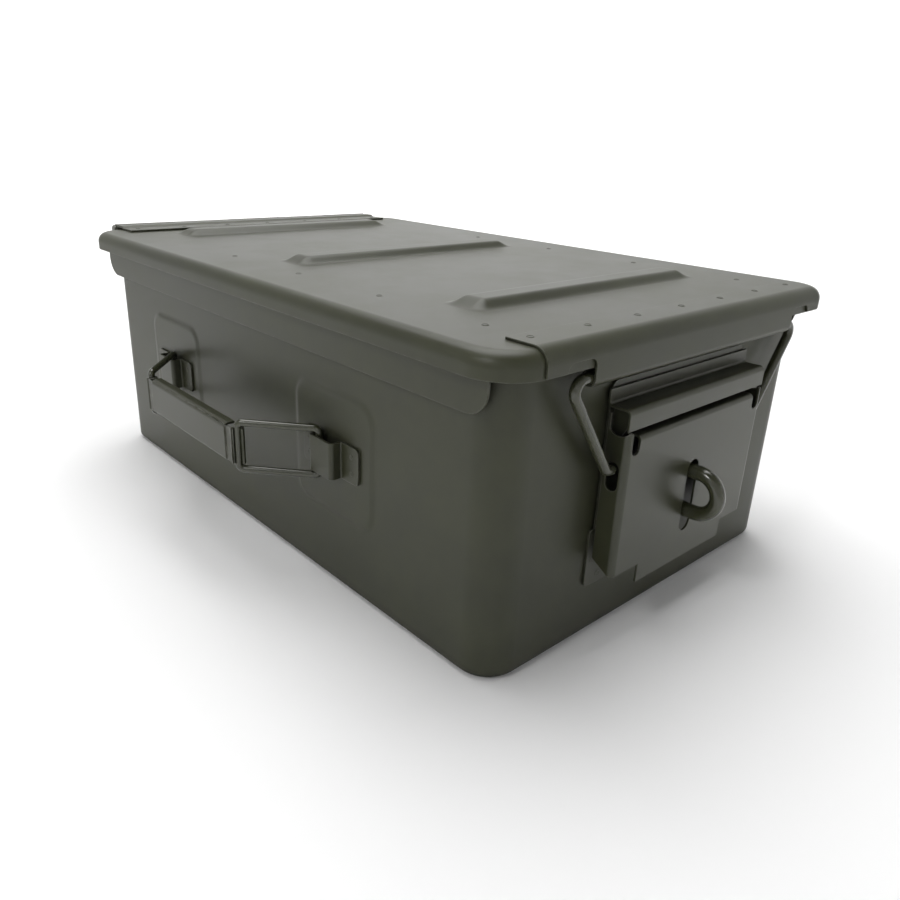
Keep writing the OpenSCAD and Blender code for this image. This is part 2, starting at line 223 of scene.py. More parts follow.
def rounded(corners, bend, closed=False):
    """The path with its corners rounded, as 2D points."""
    corners = [Vector(c) for c in corners]
    count = len(corners)
    bends = bend if isinstance(bend, (list, tuple)) else [bend] * count
    path = []
    for i, corner in enumerate(corners):
        if not closed and i in (0, count - 1):
            path.append(corner)
            continue
        into = (corner - corners[i - 1]).normalized()
        out = (corners[(i + 1) % count] - corner).normalized()
        turn = math.atan2(into.x * out.y - into.y * out.x, into.dot(out))
        side = math.copysign(1, turn)
        centre = corner - into * bends[i] * math.tan(abs(turn) / 2)
        centre += Vector((-into.y, into.x)) * side * bends[i]
        start = math.atan2(into.y, into.x) - side * math.pi / 2
        steps = max(2, math.ceil(abs(turn) / ARC_STEP))
        for k in range(steps + 1):
            angle = start + turn * k / steps
            path.append(centre + Vector((math.cos(angle), math.sin(angle))) * bends[i])
    return path


def arc(centre, radius, start, end):
    """Points on an arc, its angles in degrees."""
    steps = max(2, math.ceil(abs(math.radians(end - start)) / ARC_STEP))
    angles = [math.radians(start + (end - start) * k / steps) for k in range(steps + 1)]
    return [Vector(centre) + Vector((math.cos(a), math.sin(a))) * radius for a in angles]


print("a right-angled bend has", len(rounded([(0, 0), (9, 0), (9, 9)], 3)) - 2, "points")

# %% Carry a section along it
def slab(thickness, width, corner=SOFT_EDGE):
    """A section of sheet with rounded edges, as a function of how far it is drawn in."""
    def section(inset):
        r = max(corner - inset, LEAST_RADIUS)
        x, y = thickness / 2 - inset - r, width / 2 - inset - r
        centres = [(x, y, 0), (-x, y, 90), (-x, -y, 180), (x, -y, 270)]
        return [
            (cx + r * math.cos(math.radians(a) + t), cy + r * math.sin(math.radians(a) + t))
            for cx, cy, a in centres for t in EDGE_TURNS
        ]
    return section


def station(path, i):
    """A place inside a path, with the heading half way between its two stretches."""
    after = path[(i + 1) % len(path)]
    heading = (path[i] - path[i - 1]).normalized() + (after - path[i]).normalized()
    return path[i], heading.normalized(), 0


def with_round_ends(path, edge):
    """Stations along an open path as (point, direction, inset), drawn in at both ends."""
    first, last = (path[1] - path[0]).normalized(), (path[-1] - path[-2]).normalized()
    drawn = [(edge * (1 - math.sin(t)), edge * (1 - math.cos(t))) for t in EDGE_TURNS]
    start = [(path[0] + first * along, first, inset) for along, inset in reversed(drawn)]
    end = [(path[-1] - last * along, last, inset) for along, inset in drawn]
    return start + [station(path, i) for i in range(1, len(path) - 1)] + end


def swept(name, path, section, place="across", middle=0, closed=False, edge=SOFT_EDGE):
    """Carries a section along a path. The section's first number is measured to the path's left."""
    if closed:
        stations = [station(path, i) for i in range(len(path))]
    else:
        stations = with_round_ends(path, edge)
    points, faces = [], []
    for point, heading, inset in stations:
        left = Vector((-heading.y, heading.x))
        for u, v in section(inset):
            at = point + left * u
            points.append(PLACES[place](at.x, at.y, middle + v))
    around, rows = len(section(0)), len(stations)
    for i in range(rows if closed else rows - 1):
        a, b = i * around, (i + 1) % rows * around
        for k in range(around):
            n = (k + 1) % around
            faces.append((a + k, a + n, b + n, b + k))
    if not closed:
        faces += [tuple(range(around)), tuple(range((rows - 1) * around, rows * around))]
    return new_piece(name, points, faces)


print("a sheet's section has", len(slab(STEEL, 20)(0)), "points")

# %% [markdown]
# ## Flat blanks and cutters
# A blank is an outline raised to a thickness. The same helper makes the cutters that punch the
# slots, notches and clipped corners, which is how a press tool would make them. A cutter reaches
# a little past the sheet, so that no skin is left.

# %% Raise an outline
HAIR = 0.01
PAST = 3


def blank(name, outline, low, high, place="front"):
    """A flat piece with the given 2D outline, from low to high along the third axis."""
    count = len(outline)
    points = [PLACES[place](x, y, z) for z in (low, high) for x, y in outline]
    faces = [tuple(range(count)), tuple(range(count, 2 * count))]
    faces += [(k, (k + 1) % count, count + (k + 1) % count, count + k) for k in range(count)]
    return new_piece(name, points, faces)


def box_outline(x0, x1, y0, y1, corner=0):
    """A rectangle, with rounded corners where a radius is given."""
    corners = [(x0, y0), (x1, y0), (x1, y1), (x0, y1)]
    return rounded(corners, corner, closed=True) if corner else [Vector(c) for c in corners]


def capsule(x, y, width, height):
    """An upright or lying slot with round ends."""
    r = min(width, height) / 2 - HAIR
    return box_outline(x - width / 2, x + width / 2, y - height / 2, y + height / 2, r)


print("a slot's outline has", len(capsule(0, 0, 6, 14)), "points")

# %% [markdown]
# ## Paint on steel
# The real finish is a semi-gloss olive paint over phosphated sheet. A flat colour would look like
# plastic, so the paint is built from layers: slow drift in its tone, fine orange peel in its
# bump and roughness, sparse rub marks, painted shade that darkens the recesses, and edges worn
# thin by handling.
# The edge mask compares the true normal with one that is rounded over about a millimetre.

# %% Join nodes with short helpers
def add(tree, kind, inputs=(), **settings):
    """Adds a node, sets its options and inputs, and links sockets given as inputs."""
    node = tree.nodes.new(kind)
    for key, value in settings.items():
        setattr(node, key, value)
    for key, value in dict(inputs).items():
        if isinstance(value, bpy.types.NodeSocket):
            tree.links.new(value, node.inputs[key])
        else:
            node.inputs[key].default_value = value
    return node


def noise(tree, where, scale, detail=2.0, roughness=0.5):
    """Cloudy variation from 0 to 1. A larger scale makes smaller clouds."""
    return add(
        tree, "ShaderNodeTexNoise",
        {"Vector": where, "Scale": scale, "Detail": detail, "Roughness": roughness},
    ).outputs["Fac"]


def remap(tree, value, low, high, to_low=0.0, to_high=1.0):
    """Turns the range from low to high into another range, with soft ends."""
    return add(
        tree, "ShaderNodeMapRange",
        {"Value": value, "From Min": low, "From Max": high, "To Min": to_low, "To Max": to_high},
        interpolation_type="SMOOTHSTEP",
    ).outputs["Result"]


def maths(tree, operation, a, b):
    """One sum on two sockets or numbers."""
    return add(tree, "ShaderNodeMath", {0: a, 1: b}, operation=operation).outputs[0]


def blended(tree, amount, under, over):
    """Lays one colour over another. Each is a socket or three numbers."""
    node = add(tree, "ShaderNodeMix", {0: amount}, data_type="RGBA")
    for socket, value in ((node.inputs[6], under), (node.inputs[7], over)):
        if isinstance(value, bpy.types.NodeSocket):
            tree.links.new(value, socket)
        else:
            socket.default_value = (*value, 1)
    return node.outputs[2]


def shade(colour, amount):
    """A colour made darker or lighter."""
    return [c * amount for c in colour]


def new_finish(name):
    """A material, its tree and shader, and the coordinates that its patterns follow."""
    material = bpy.data.materials.new(name)
    material.use_nodes = True
    tree = material.node_tree
    return material, tree, tree.nodes["Principled BSDF"], add(tree, "ShaderNodeTexCoord").outputs["Object"]


# %% Find the edges, the recesses and the rub marks
EDGE_REACH = 0.9
# How far, in mm, ambient occlusion looks for open air; the recesses it finds get painted shade
RECESS_SHADE_REACH = 16


def edge_mask(tree, reach):
    """1 on edges sharper than their surroundings, 0 on flats."""
    rounded_normal = add(tree, "ShaderNodeBevel", {"Radius": reach * MM}, samples=4).outputs[0]
    true_normal = add(tree, "ShaderNodeNewGeometry").outputs["Normal"]
    same = add(
        tree, "ShaderNodeVectorMath", {0: rounded_normal, 1: true_normal}, operation="DOT_PRODUCT"
    ).outputs["Value"]
    return remap(tree, same, low=0.995, high=0.86)


def thin_edges(tree, where, wear):
    """Where handling has thinned the paint, in patches along the edges."""
    patchy = remap(tree, noise(tree, where, scale=160.0, detail=3.0), low=0.35, high=0.62)
    return maths(tree, "MULTIPLY", edge_mask(tree, EDGE_REACH), maths(tree, "MULTIPLY", patchy, wear))


def recess_shade_mask(tree):
    """Painted shade for the recesses: strongest where little open air reaches the surface."""
    open_air = add(tree, "ShaderNodeAmbientOcclusion", {"Distance": RECESS_SHADE_REACH * MM}, samples=4)
    return remap(tree, open_air.outputs["AO"], low=0.2, high=0.75, to_low=0.8, to_high=0.0)


def rub_marks(tree, where):
    """Sparse marks, drawn out in one direction."""
    drawn_out = add(
        tree, "ShaderNodeMapping", {"Vector": where, "Rotation": (0.3, 0.5, 0.9), "Scale": (1, 9, 3)}
    )
    marks = noise(tree, drawn_out.outputs[0], scale=90.0, detail=5.0, roughness=0.65)
    return remap(tree, marks, low=0.69, high=0.76, to_high=0.28)


# Prints the reach of the painted shade in recesses
print("grime reaches", RECESS_SHADE_REACH, "mm out of a recess")

# %% Lay the paint up
def paint(name, colour, worn, gloss=0.4, wear=0.6, peel=1.0, shine=0.42):
    """Painted steel. The colours are linear, and wear says how much the edges show."""
    material, tree, shader, where = new_finish(name)
    drift = noise(tree, where, scale=7.0, detail=4.0, roughness=0.6)
    mottle = noise(tree, where, scale=60.0, detail=3.0)
    grain = noise(tree, where, scale=750.0, detail=2.0)
    fine = noise(tree, where, scale=2600.0, detail=1.0)
    tone = maths(tree, "ADD", maths(tree, "MULTIPLY", drift, 0.7), maths(tree, "MULTIPLY", mottle, 0.3))
    base = blended(tree, remap(tree, tone, low=0.36, high=0.64), shade(colour, 0.84), shade(colour, 1.14))
    specks = remap(tree, fine, low=0.62, high=0.74, to_high=0.16)
    rubbed = rub_marks(tree, where)
    # Painted shade: an ambient occlusion mask that darkens the recesses
    recess_shade = recess_shade_mask(tree)
    thin = thin_edges(tree, where, wear)
    layers = [
        (specks, shade(colour, 1.5)),
        (rubbed, shade(colour, 1.35)),
        # Painted shade: recesses darkened to about a fifth of the colour
        (recess_shade, shade(colour, 0.22)),
        (thin, worn),
    ]
    for mask, over in layers:
        base = blended(tree, mask, base, over)
    dull = remap(tree, tone, low=0.35, high=0.65, to_low=gloss - 0.015, to_high=gloss + 0.03)
    # Rub marks and the painted-shade recesses get duller, thinned edges glossier
    for mask, change in ((rubbed, 0.2), (thin, -0.1), (recess_shade, 0.4)):
        dull = maths(tree, "ADD", dull, maths(tree, "MULTIPLY", mask, change))
    height = maths(tree, "ADD", grain, maths(tree, "MULTIPLY", fine, 0.5))
    bump = add(tree, "ShaderNodeBump", {"Strength": 0.16 * peel, "Distance": 0.06 * MM, "Height": height})
    tree.links.new(base, shader.inputs["Base Color"])
    tree.links.new(dull, shader.inputs["Roughness"])
    tree.links.new(bump.outputs["Normal"], shader.inputs["Normal"])
    shader.inputs["Specular IOR Level"].default_value = shine
    print("paint", name, "gloss", gloss)
    return material


# %% Mix one paint for each kind of piece
OLIVE = (0.031, 0.033, 0.016)
THINNED = (0.14, 0.14, 0.12)
RUBBED_ROD = (0.36, 0.36, 0.32)
body_paint = paint("olive body paint", OLIVE, THINNED, gloss=0.42)
lid_paint = paint("olive lid paint", shade(OLIVE, 1.04), THINNED, gloss=0.40)
latch_paint = paint("olive latch paint", shade(OLIVE, 1.02), THINNED, gloss=0.32, wear=0.8, shine=0.5)
handle_paint = paint("olive handle paint", OLIVE, THINNED, gloss=0.38, wear=0.8)
rod_paint = paint(
    "olive rod paint", shade(OLIVE, 1.08), RUBBED_ROD, gloss=0.20, wear=0.9, peel=0.5, shine=0.75
)

# %% [markdown]
# ## Rubber
# The seal is a square cord of black foam rubber. It is nearly matt, a little dusty, and has
# small open cells, which are shallow pits in the bump.

# %% Build the rubber
RUBBER = (0.012, 0.012, 0.012)
DUST = (0.034, 0.034, 0.031)
CHAFED = (0.06, 0.06, 0.055)
CHAFE_REACH = 0.7


def cellular_rubber(name):
    """Black foam rubber with dust in patches and edges that are chafed."""
    material, tree, shader, where = new_finish(name)
    cells = add(tree, "ShaderNodeTexVoronoi", {"Vector": where, "Scale": 900.0}).outputs["Distance"]
    pits = remap(tree, cells, low=0.05, high=0.4)
    dust = remap(tree, noise(tree, where, scale=35.0, detail=5.0, roughness=0.6), low=0.42, high=0.68)
    chafe = maths(tree, "MULTIPLY", edge_mask(tree, CHAFE_REACH), 0.5)
    base = blended(tree, chafe, blended(tree, dust, RUBBER, DUST), CHAFED)
    bump = add(tree, "ShaderNodeBump", {"Strength": 0.5, "Distance": 0.12 * MM, "Height": pits})
    tree.links.new(base, shader.inputs["Base Color"])
    tree.links.new(remap(tree, dust, 0.0, 1.0, 0.68, 0.88), shader.inputs["Roughness"])
    tree.links.new(bump.outputs["Normal"], shader.inputs["Normal"])
    print("rubber", name)
    return material


seal_rubber = cellular_rubber("black cellular rubber")

# %% [markdown]
# ## The body shell
# The body is one deep-drawn shell. Its wall rolls outwards into a round bead at the top, and its
# floor turns up with a tight radius. Rings of points follow that profile round a rounded
# rectangle. On the long sides the points are closer together near the stamped pads, and they
# move outwards there by a smooth step, so the pads are real relief with soft shoulders.

# %% Rings round a rounded rectangle
CORNER_STEPS = 12


def spaced(low, high, coarse, zones=(), fine=1.5):
    """Places from low to high, closer together inside the zones."""
    places, at = [], low
    while at < high - HAIR:
        places.append(at)
        near = [z for z in zones if z[0] - HAIR <= at < z[1] - HAIR]
        ahead = [z[0] for z in zones if z[0] > at + HAIR]
        step = fine if near else coarse
        at = min(at + step, *(ahead or [high]), high)
    return places + [high]


def evenly(count):
    """Even places from -1 to 1."""
    return [t / count for t in range(-count, count + 1)]


def ring(half_x, half_y, radius, long_places, short_places):
    """Points round a rounded rectangle, in plan, each with the side that it is on."""
    flat_x, flat_y = half_x - radius, half_y - radius
    long_side = [t * flat_y for t in long_places]
    short_side = [t * flat_x for t in short_places]
    points = [(half_x, y, "right") for y in long_side]
    quarters = [(flat_x, flat_y, 0), (-flat_x, flat_y, 90), (-flat_x, -flat_y, 180), (flat_x, -flat_y, 270)]
    runs = [
        [(x, half_y, "rear") for x in reversed(short_side)],
        [(-half_x, y, "left") for y in reversed(long_side)],
        [(x, -half_y, "front") for x in short_side],
        [],
    ]
    for (cx, cy, start), run in zip(quarters, runs):
        for k in range(1, CORNER_STEPS):
            a = math.radians(start + 90 * k / CORNER_STEPS)
            points.append((cx + radius * math.cos(a), cy + radius * math.sin(a), "corner"))
        points += run
    return points


def ringed(name, profile, half_x, half_y, radius, long_places, short_places, relief=None, caps=True):
    """A shell from a profile of (outward, height) pairs, carried round a rounded rectangle."""
    points, faces = [], []
    for out, z in profile:
        for x, y, side in ring(half_x + out, half_y + out, radius + out, long_places, short_places):
            push = relief(side, y, z) if relief else 0
            points.append((x + math.copysign(push, x), y, z))
    count = len(points) // len(profile)
    for i in range(len(profile) - 1):
        for k in range(count):
            n = (k + 1) % count
            faces.append((i * count + k, i * count + n, (i + 1) * count + n, (i + 1) * count + k))
    if caps:
        last = (len(profile) - 1) * count
        faces += [tuple(range(count)), tuple(range(last, last + count))]
    return new_piece(name, points, faces)


def smooth_step(t):
    """Eases from 0 to 1."""
    t = min(max(t, 0), 1)
    return t * t * (3 - 2 * t)


print("a quarter corner has", CORNER_STEPS - 1, "points between its flats")

# %% Place the pads
BEAD = 2.4
BEAD_SHIFT = 0.2
BEAD_SEAM = (-84, 216)
WALL_CORNER = 18
FLOOR_BEND = 5
PAD_OUT = 0.8
PAD_HALF = 35
PAD_CORNER = 12
PAD_SHOULDER = 3.0
PAD_FLAT = 20
PAD_MARGIN = 2

wall_x = shell_high.x - BEAD - BEAD_SHIFT
wall_y = shell_high.y - BEAD - BEAD_SHIFT
foot_low, foot_high = span("left_front_bracket")
rear_low, rear_high = span("left_rear_bracket")
pads = [((a.y + b.y) / 2, (a.z + b.z) / 2) for a, b in ((foot_low, foot_high), (rear_low, rear_high))]
handle_z = pads[0][1]


def pad_relief(side, y, z):
    """How far a pad pushes the wall out at a place on a long side."""
    if side not in ("left", "right"):
        return 0
    push = 0
    for pad_y, pad_z in pads:
        dy = max(abs(y - pad_y) - (PAD_HALF - PAD_CORNER), 0)
        dz = max(abs(z - pad_z) - (PAD_HALF - PAD_CORNER), 0)
        outside = math.hypot(dy, dz) - PAD_CORNER
        push = max(push, PAD_OUT * smooth_step(-outside / PAD_SHOULDER))
    return push


def shoulder_zones(middle):
    """The two stretches where a pad's shoulders need close points."""
    far = PAD_HALF + PAD_MARGIN
    return [(middle - far, middle - PAD_FLAT), (middle + PAD_FLAT, middle + far)]


print("pads at", [[round(v, 1) for v in pad] for pad in pads])

# %% Draw the body
WALL_STEP = 8
bead_z = shell_high.z - BEAD
flat_y = wall_y - WALL_CORNER
zones = [zone for pad_y, _ in pads for zone in shoulder_zones(pad_y)]
long_places = [y / flat_y for y in spaced(-flat_y, flat_y, WALL_STEP, zones)]
wall_rows = spaced(FLOOR_BEND, bead_z - BEAD, WALL_STEP, shoulder_zones(handle_z))
outer = [(p.x, p.y) for p in arc((-FLOOR_BEND, FLOOR_BEND), FLOOR_BEND, -90, 0)]
outer += [(0, z) for z in wall_rows[1:]]
bead = [(p.x, p.y) for p in arc((BEAD_SHIFT, bead_z), BEAD, *BEAD_SEAM)]
inner = [(-STEEL, z) for z in reversed(wall_rows[1:])]
inner += [(p.x, p.y) for p in arc((-FLOOR_BEND, FLOOR_BEND), FLOOR_BEND - STEEL, 0, -90)]
case_shell = ringed(
    "case_shell", outer + bead + inner, wall_x, wall_y, WALL_CORNER, long_places, evenly(12), pad_relief
)
dress(case_shell, "case", "painted_body", body_paint, "body_shell")

# %% [markdown]
# ## The lid pan
# The lid is a shallow pan with a rolled edge and three stamped ribs. The ribs are hollow from
# below, so the lid is drawn as one skin, and the Solidify modifier gives it its wall. The ribbed
# field is a grid whose height follows a rule: it rises over each rib with soft shoulders.
# Round it, a flat collar reaches the rolled edge.

# %% Shape the ribs
LID_CORNER = 22
LID_EDGE = 6.5
RIB_HEIGHT = 4.0
RIB_HALF_WIDTH = 13
RIB_SLOPE = 8.0
RIB_END_SLOPE = 12.0
RIB_SIDE_GAP = 46
RIB_FRONT_GAP = 75
RIB_REAR_GAP = 53
RIBS = 3

lid_top = lid_high.z - RIB_HEIGHT
lid_x, lid_y = lid_high.x, lid_high.y
rib_half_length = lid_x - RIB_SIDE_GAP
rib_pitch = (2 * lid_y - RIB_FRONT_GAP - RIB_REAR_GAP) / (RIBS - 1)
rib_rows = [-lid_y + RIB_FRONT_GAP + i * rib_pitch for i in range(RIBS)]


def rib_rise(x, y):
    """Height of the ribs above the lid at a place."""
    along = smooth_step((rib_half_length - abs(x)) / RIB_END_SLOPE)
    nearest = min(abs(y - row) for row in rib_rows)
    return RIB_HEIGHT * along * smooth_step((RIB_HALF_WIDTH - nearest) / RIB_SLOPE)


print("ribs at", [round(row, 1) for row in rib_rows], "mm")

# %% Space the ribbed field
FIELD_STEP = 12
FIELD_MARGIN = 2
END_ZONE = 16
ROW_ZONE = RIB_HALF_WIDTH + 1
field_x = rib_half_length + FIELD_MARGIN
end_zones = [(-field_x, -field_x + END_ZONE), (field_x - END_ZONE, field_x)]
columns = spaced(-field_x, field_x, FIELD_STEP, end_zones, fine=1.0)
row_zones = [(row - ROW_ZONE, row + ROW_ZONE) for row in rib_rows]
rows = spaced(row_zones[0][0] - 1, row_zones[-1][1] + 1, FIELD_STEP, row_zones, fine=0.9)
print("ribbed field of", len(columns), "by", len(rows), "points")

# %% Draw the lid
RIM_STEP = 2
profile = [(0, z) for z in spaced(lid_low.z, lid_top - LID_EDGE, RIM_STEP)]
profile += [(p.x, p.y) for p in arc((-LID_EDGE, lid_top - LID_EDGE), LID_EDGE, 0, 90)][1:]
lid_shell = ringed("lid_shell", profile, lid_x, lid_y, LID_CORNER, evenly(24), evenly(14), caps=False)
skin = bmesh.new()
skin.from_mesh(lid_shell.data)
grid = [[skin.verts.new(Vector((x, y, lid_top + rib_rise(x, y))) * MM) for x in columns] for y in rows]
for low_row, high_row in zip(grid, grid[1:]):
    for k in range(len(columns) - 1):
        skin.faces.new((low_row[k], low_row[k + 1], high_row[k + 1], high_row[k]))
open_edges = [
    e for e in skin.edges
    if e.is_boundary and all(abs(v.co.z - lid_top * MM) < 1e-6 for v in e.verts)
]
bmesh.ops.triangle_fill(skin, use_beauty=True, use_dissolve=False, edges=open_edges, normal=(0, 0, 1))
bmesh.ops.recalc_face_normals(skin, faces=skin.faces)
if sum(f.normal.z for f in skin.faces) < 0:
    bmesh.ops.reverse_faces(skin, faces=skin.faces)
skin.to_mesh(lid_shell.data)
skin.free()
wall = lid_shell.modifiers.new("wall", "SOLIDIFY")
wall.thickness = STEEL * MM
wall.offset = -1
wall.use_even_offset = True
settle(lid_shell)
soften(lid_shell, width=0.25, angle=60)
dress(lid_shell, "lid", "painted_lid", lid_paint, "lid_pan")

# %% [markdown]
# ## Aprons, seal and seal retainer
# Two strips hang inside the lid's long rims and guide it over the body. The rubber seal lies
# under the lid, and a thin upright strip keeps it in place. The strips are blanks with rounded
# corners, and the seal and its retainer are sections carried round a closed path.

# %% Draw what hangs under the lid
APRON_CORNER = 12


def inner_ring(name, node, thickness, corner, edge):
    """A closed ring that fills a node's box, with a rounded section."""
    low, high = span(node)
    half_x, half_y = high.x - thickness / 2, high.y - thickness / 2
    path = rounded([(-half_x, -half_y), (half_x, -half_y), (half_x, half_y), (-half_x, half_y)], corner, True)
    section = slab(thickness, high.z - low.z, edge)
    return swept(name, path, section, "plan", (low.z + high.z) / 2, closed=True)


for side in ("left", "right"):
    low, high = span("lid_apron_" + side)
    apron = blank(
        side + "_apron",
        rounded([(low.y, high.z), (low.y, low.z), (high.y, low.z), (high.y, high.z)],
                [HAIR, APRON_CORNER, APRON_CORNER, HAIR], closed=True),
        low.x, high.x, "across",
    )
    soften(apron)
    dress(apron, "lid", "painted_lid", lid_paint, "lid_apron_" + side)

SEAL_WIDTH = 9
seal = inner_ring("rubber_seal", "lid_gasket", SEAL_WIDTH, corner=WALL_CORNER - SEAL_WIDTH / 2, edge=0.9)
dress(seal, "lid", "gasket_rubber", seal_rubber, "lid_gasket")
retainer = inner_ring("seal_retainer", "gasket_retainer", STEEL, corner=WALL_CORNER - SEAL_WIDTH, edge=0.35)
dress(retainer, "lid", "painted_lid", lid_paint, "gasket_retainer")

# %% [markdown]
# ## The lid's front plate
# A second sheet is spot-welded over the lid's front edge. It turns down the front and rolls
# forward under itself to hold the bail's crossbar. One long path gives the whole bend, and
# cutters then clear both sides of the roll and leave the round notches that the bail comes
# out through.

# %% Draw the front plate
FIT = 0.08
BAIL_TOP = 98
LIP_LIFT = 0.5
ROLL_TURN = (180, 415)
ROLL_SHORT = 12.5
ROLL_ROOM = 12
NOTCH_WIDE = 5.5
NOTCH_RISE = 4
NOTCH_DEEP = 8
bail_low = span("latch_bail")[0]
plate_low, plate_high = span("lid_front_plate")
bail_axis = pivots["bail_swing"]
roll_inner = plate_low.y + STEEL
roll_radius = bail_axis.y - roll_inner
lip_z = lid_low.z + LIP_LIFT
sheet_y = plate_low.y + STEEL / 2
bail_rod = 2 * (roll_radius - FIT)
roll = arc((bail_axis.y, bail_axis.z), roll_radius + STEEL / 2, *ROLL_TURN)
top_path = rounded(
    [(plate_high.y, plate_high.z - STEEL / 2), (sheet_y, plate_high.z - STEEL / 2), (sheet_y, lip_z)],
    LID_EDGE + STEEL / 2,
)
front_plate = swept("front_plate", top_path[:-1] + roll, slab(STEEL, 2 * plate_high.x))
roll_half = BAIL_TOP - ROLL_SHORT
notch_half = BAIL_TOP + NOTCH_WIDE
cutters = []
for side in (-1, 1):
    end_x, below = side * (plate_high.x + PAST), bail_axis.z - ROLL_ROOM
    outline = [(end_x, lip_z), (end_x, below), (side * roll_half, below), (side * roll_half, lip_z)]
    cutters.append(blank("cut", outline, plate_low.y - PAST, bail_axis.y + ROLL_ROOM))
    x0, x1 = sorted((side * roll_half, side * notch_half))
    notch = box_outline(x0, x1, lip_z - NOTCH_DEEP, lip_z + NOTCH_RISE, NOTCH_RISE)
    cutters.append(blank("cut", notch, plate_low.y - PAST, sheet_y + 2 * STEEL))
carve(front_plate, cutters)
soften(front_plate, width=0.28)
dress(front_plate, "lid", "painted_lid", lid_paint, "lid_front_plate")

# %% [markdown]
# ## The hinge
# Each hinge leaf is a strip whose edge curls round the pin. Both leaves are made whole and then
# cleared between their own knuckles, as a press would do, so the curls keep their open seam.

# %% Cut the knuckles of a leaf
LEAF = 1.5
KNUCKLES = 5
KNUCKLE_GAP = 0.15
CLEAR_BEHIND = 0.5
CLEAR_BELOW = 1.5
CLEAR_OUTSIDE = 2
hinge_axis = pivots["lid_hinge"]
pin_low, pin_high = span("hinge_pin")
leaf_low, leaf_high = span("hinge_leaf_body")
lid_leaf_low = span("hinge_leaf_lid")[0]
knuckle_radius = leaf_high.y - hinge_axis.y
curl_radius = knuckle_radius - LEAF / 2
hinge_half = leaf_high.x
knuckle_length = 2 * (hinge_half + KNUCKLE_GAP) / KNUCKLES


def hinge_leaf(name, path, kept):
    """A leaf with its curl, cleared where the other leaf's knuckles sit."""
    leaf = swept(name, path, slab(LEAF, 2 * (hinge_half - HAIR)))
    room = box_outline(
        hinge_axis.y - knuckle_radius - CLEAR_BEHIND, hinge_axis.y + knuckle_radius + CLEAR_OUTSIDE,
        hinge_axis.z - knuckle_radius - CLEAR_BELOW, hinge_axis.z + knuckle_radius + CLEAR_OUTSIDE,
    )
    cutters = []
    for i in range(KNUCKLES):
        if i % 2 != kept:
            start = -hinge_half - KNUCKLE_GAP + i * knuckle_length
            end = start + knuckle_length + KNUCKLE_GAP
            cutters.append(blank("cut", room, start - KNUCKLE_GAP, end, "across"))
    carve(leaf, cutters)
    return soften(leaf, width=0.25)


print("knuckles", round(knuckle_length, 1), "mm long")

# %% Draw the two leaves
CURL_TURN = 285
CURL_ROOT = 0.5
STEP_DROP = 14.5
STEP_BACK = 15
STEP_RUN = 2
wall_leaf_y = leaf_low.y + LEAF / 2
knuckle_y = hinge_axis.y + curl_radius
body_leaf_path = rounded(
    [(wall_leaf_y, leaf_low.z), (wall_leaf_y, hinge_axis.z - STEP_DROP),
     (knuckle_y, hinge_axis.z - STEP_DROP), (knuckle_y, hinge_axis.z - CURL_ROOT)],
    LEAF,
) + arc((hinge_axis.y, hinge_axis.z), curl_radius, 0, CURL_TURN)
body_leaf = hinge_leaf("body_hinge_leaf", body_leaf_path, 0)
dress(body_leaf, "case", "painted_body", body_paint, "hinge_leaf_body")
step_y = hinge_axis.y - STEP_BACK
strap_z = hinge_axis.z + curl_radius
lid_leaf_path = rounded(
    [(lid_leaf_low.y, lid_top + LEAF / 2), (step_y, lid_top + LEAF / 2),
     (step_y + STEP_RUN, strap_z), (hinge_axis.y - CURL_ROOT, strap_z)],
    LEAF,
) + arc((hinge_axis.y, hinge_axis.z), curl_radius, 90, 90 - CURL_TURN)
lid_leaf = hinge_leaf("lid_hinge_leaf", lid_leaf_path, 1)
dress(lid_leaf, "lid", "painted_lid", lid_paint, "hinge_leaf_lid")

# %% [markdown]
# ## Bent rods with Geometry Nodes
# The bail, the four handle links, the padlock staple and the hinge pin are all round rod bent
# along a path, so one node tree makes them all. It turns a chain of edges into a curve, rounds
# its corners, and sweeps a circle along it. Its named inputs are the rod's diameter and the
# bend's radius, which makes a new rod a matter of a few corner points.

# %% Make and run a node tree
def new_tree(name, inputs):
    """A Geometry Nodes tree with the given named inputs, and its two end nodes."""
    tree = bpy.data.node_groups.new(name, "GeometryNodeTree")
    tree.interface.new_socket(name="Geometry", in_out="INPUT", socket_type="NodeSocketGeometry")
    for label, kind, default in inputs:
        socket = tree.interface.new_socket(name=label, in_out="INPUT", socket_type=kind)
        if default is not None:
            socket.default_value = default
    tree.interface.new_socket(name="Geometry", in_out="OUTPUT", socket_type="NodeSocketGeometry")
    return tree, tree.nodes.new("NodeGroupInput"), tree.nodes.new("NodeGroupOutput")


def grow(name, host, tree, **values):
    """Runs a node tree on a host mesh and returns the result as a plain mesh object."""
    modifier = host.modifiers.new(tree.name, "NODES")
    modifier.node_group = tree
    for socket in tree.interface.items_tree:
        key = socket.name.replace(" ", "_")
        if socket.in_out == "INPUT" and key in values:
            modifier[socket.identifier] = values[key]
    settle(host)
    host.name = name
    return host


# %% Build the rod tree
ROD_SIDES = 28
BEND_POINTS = 9


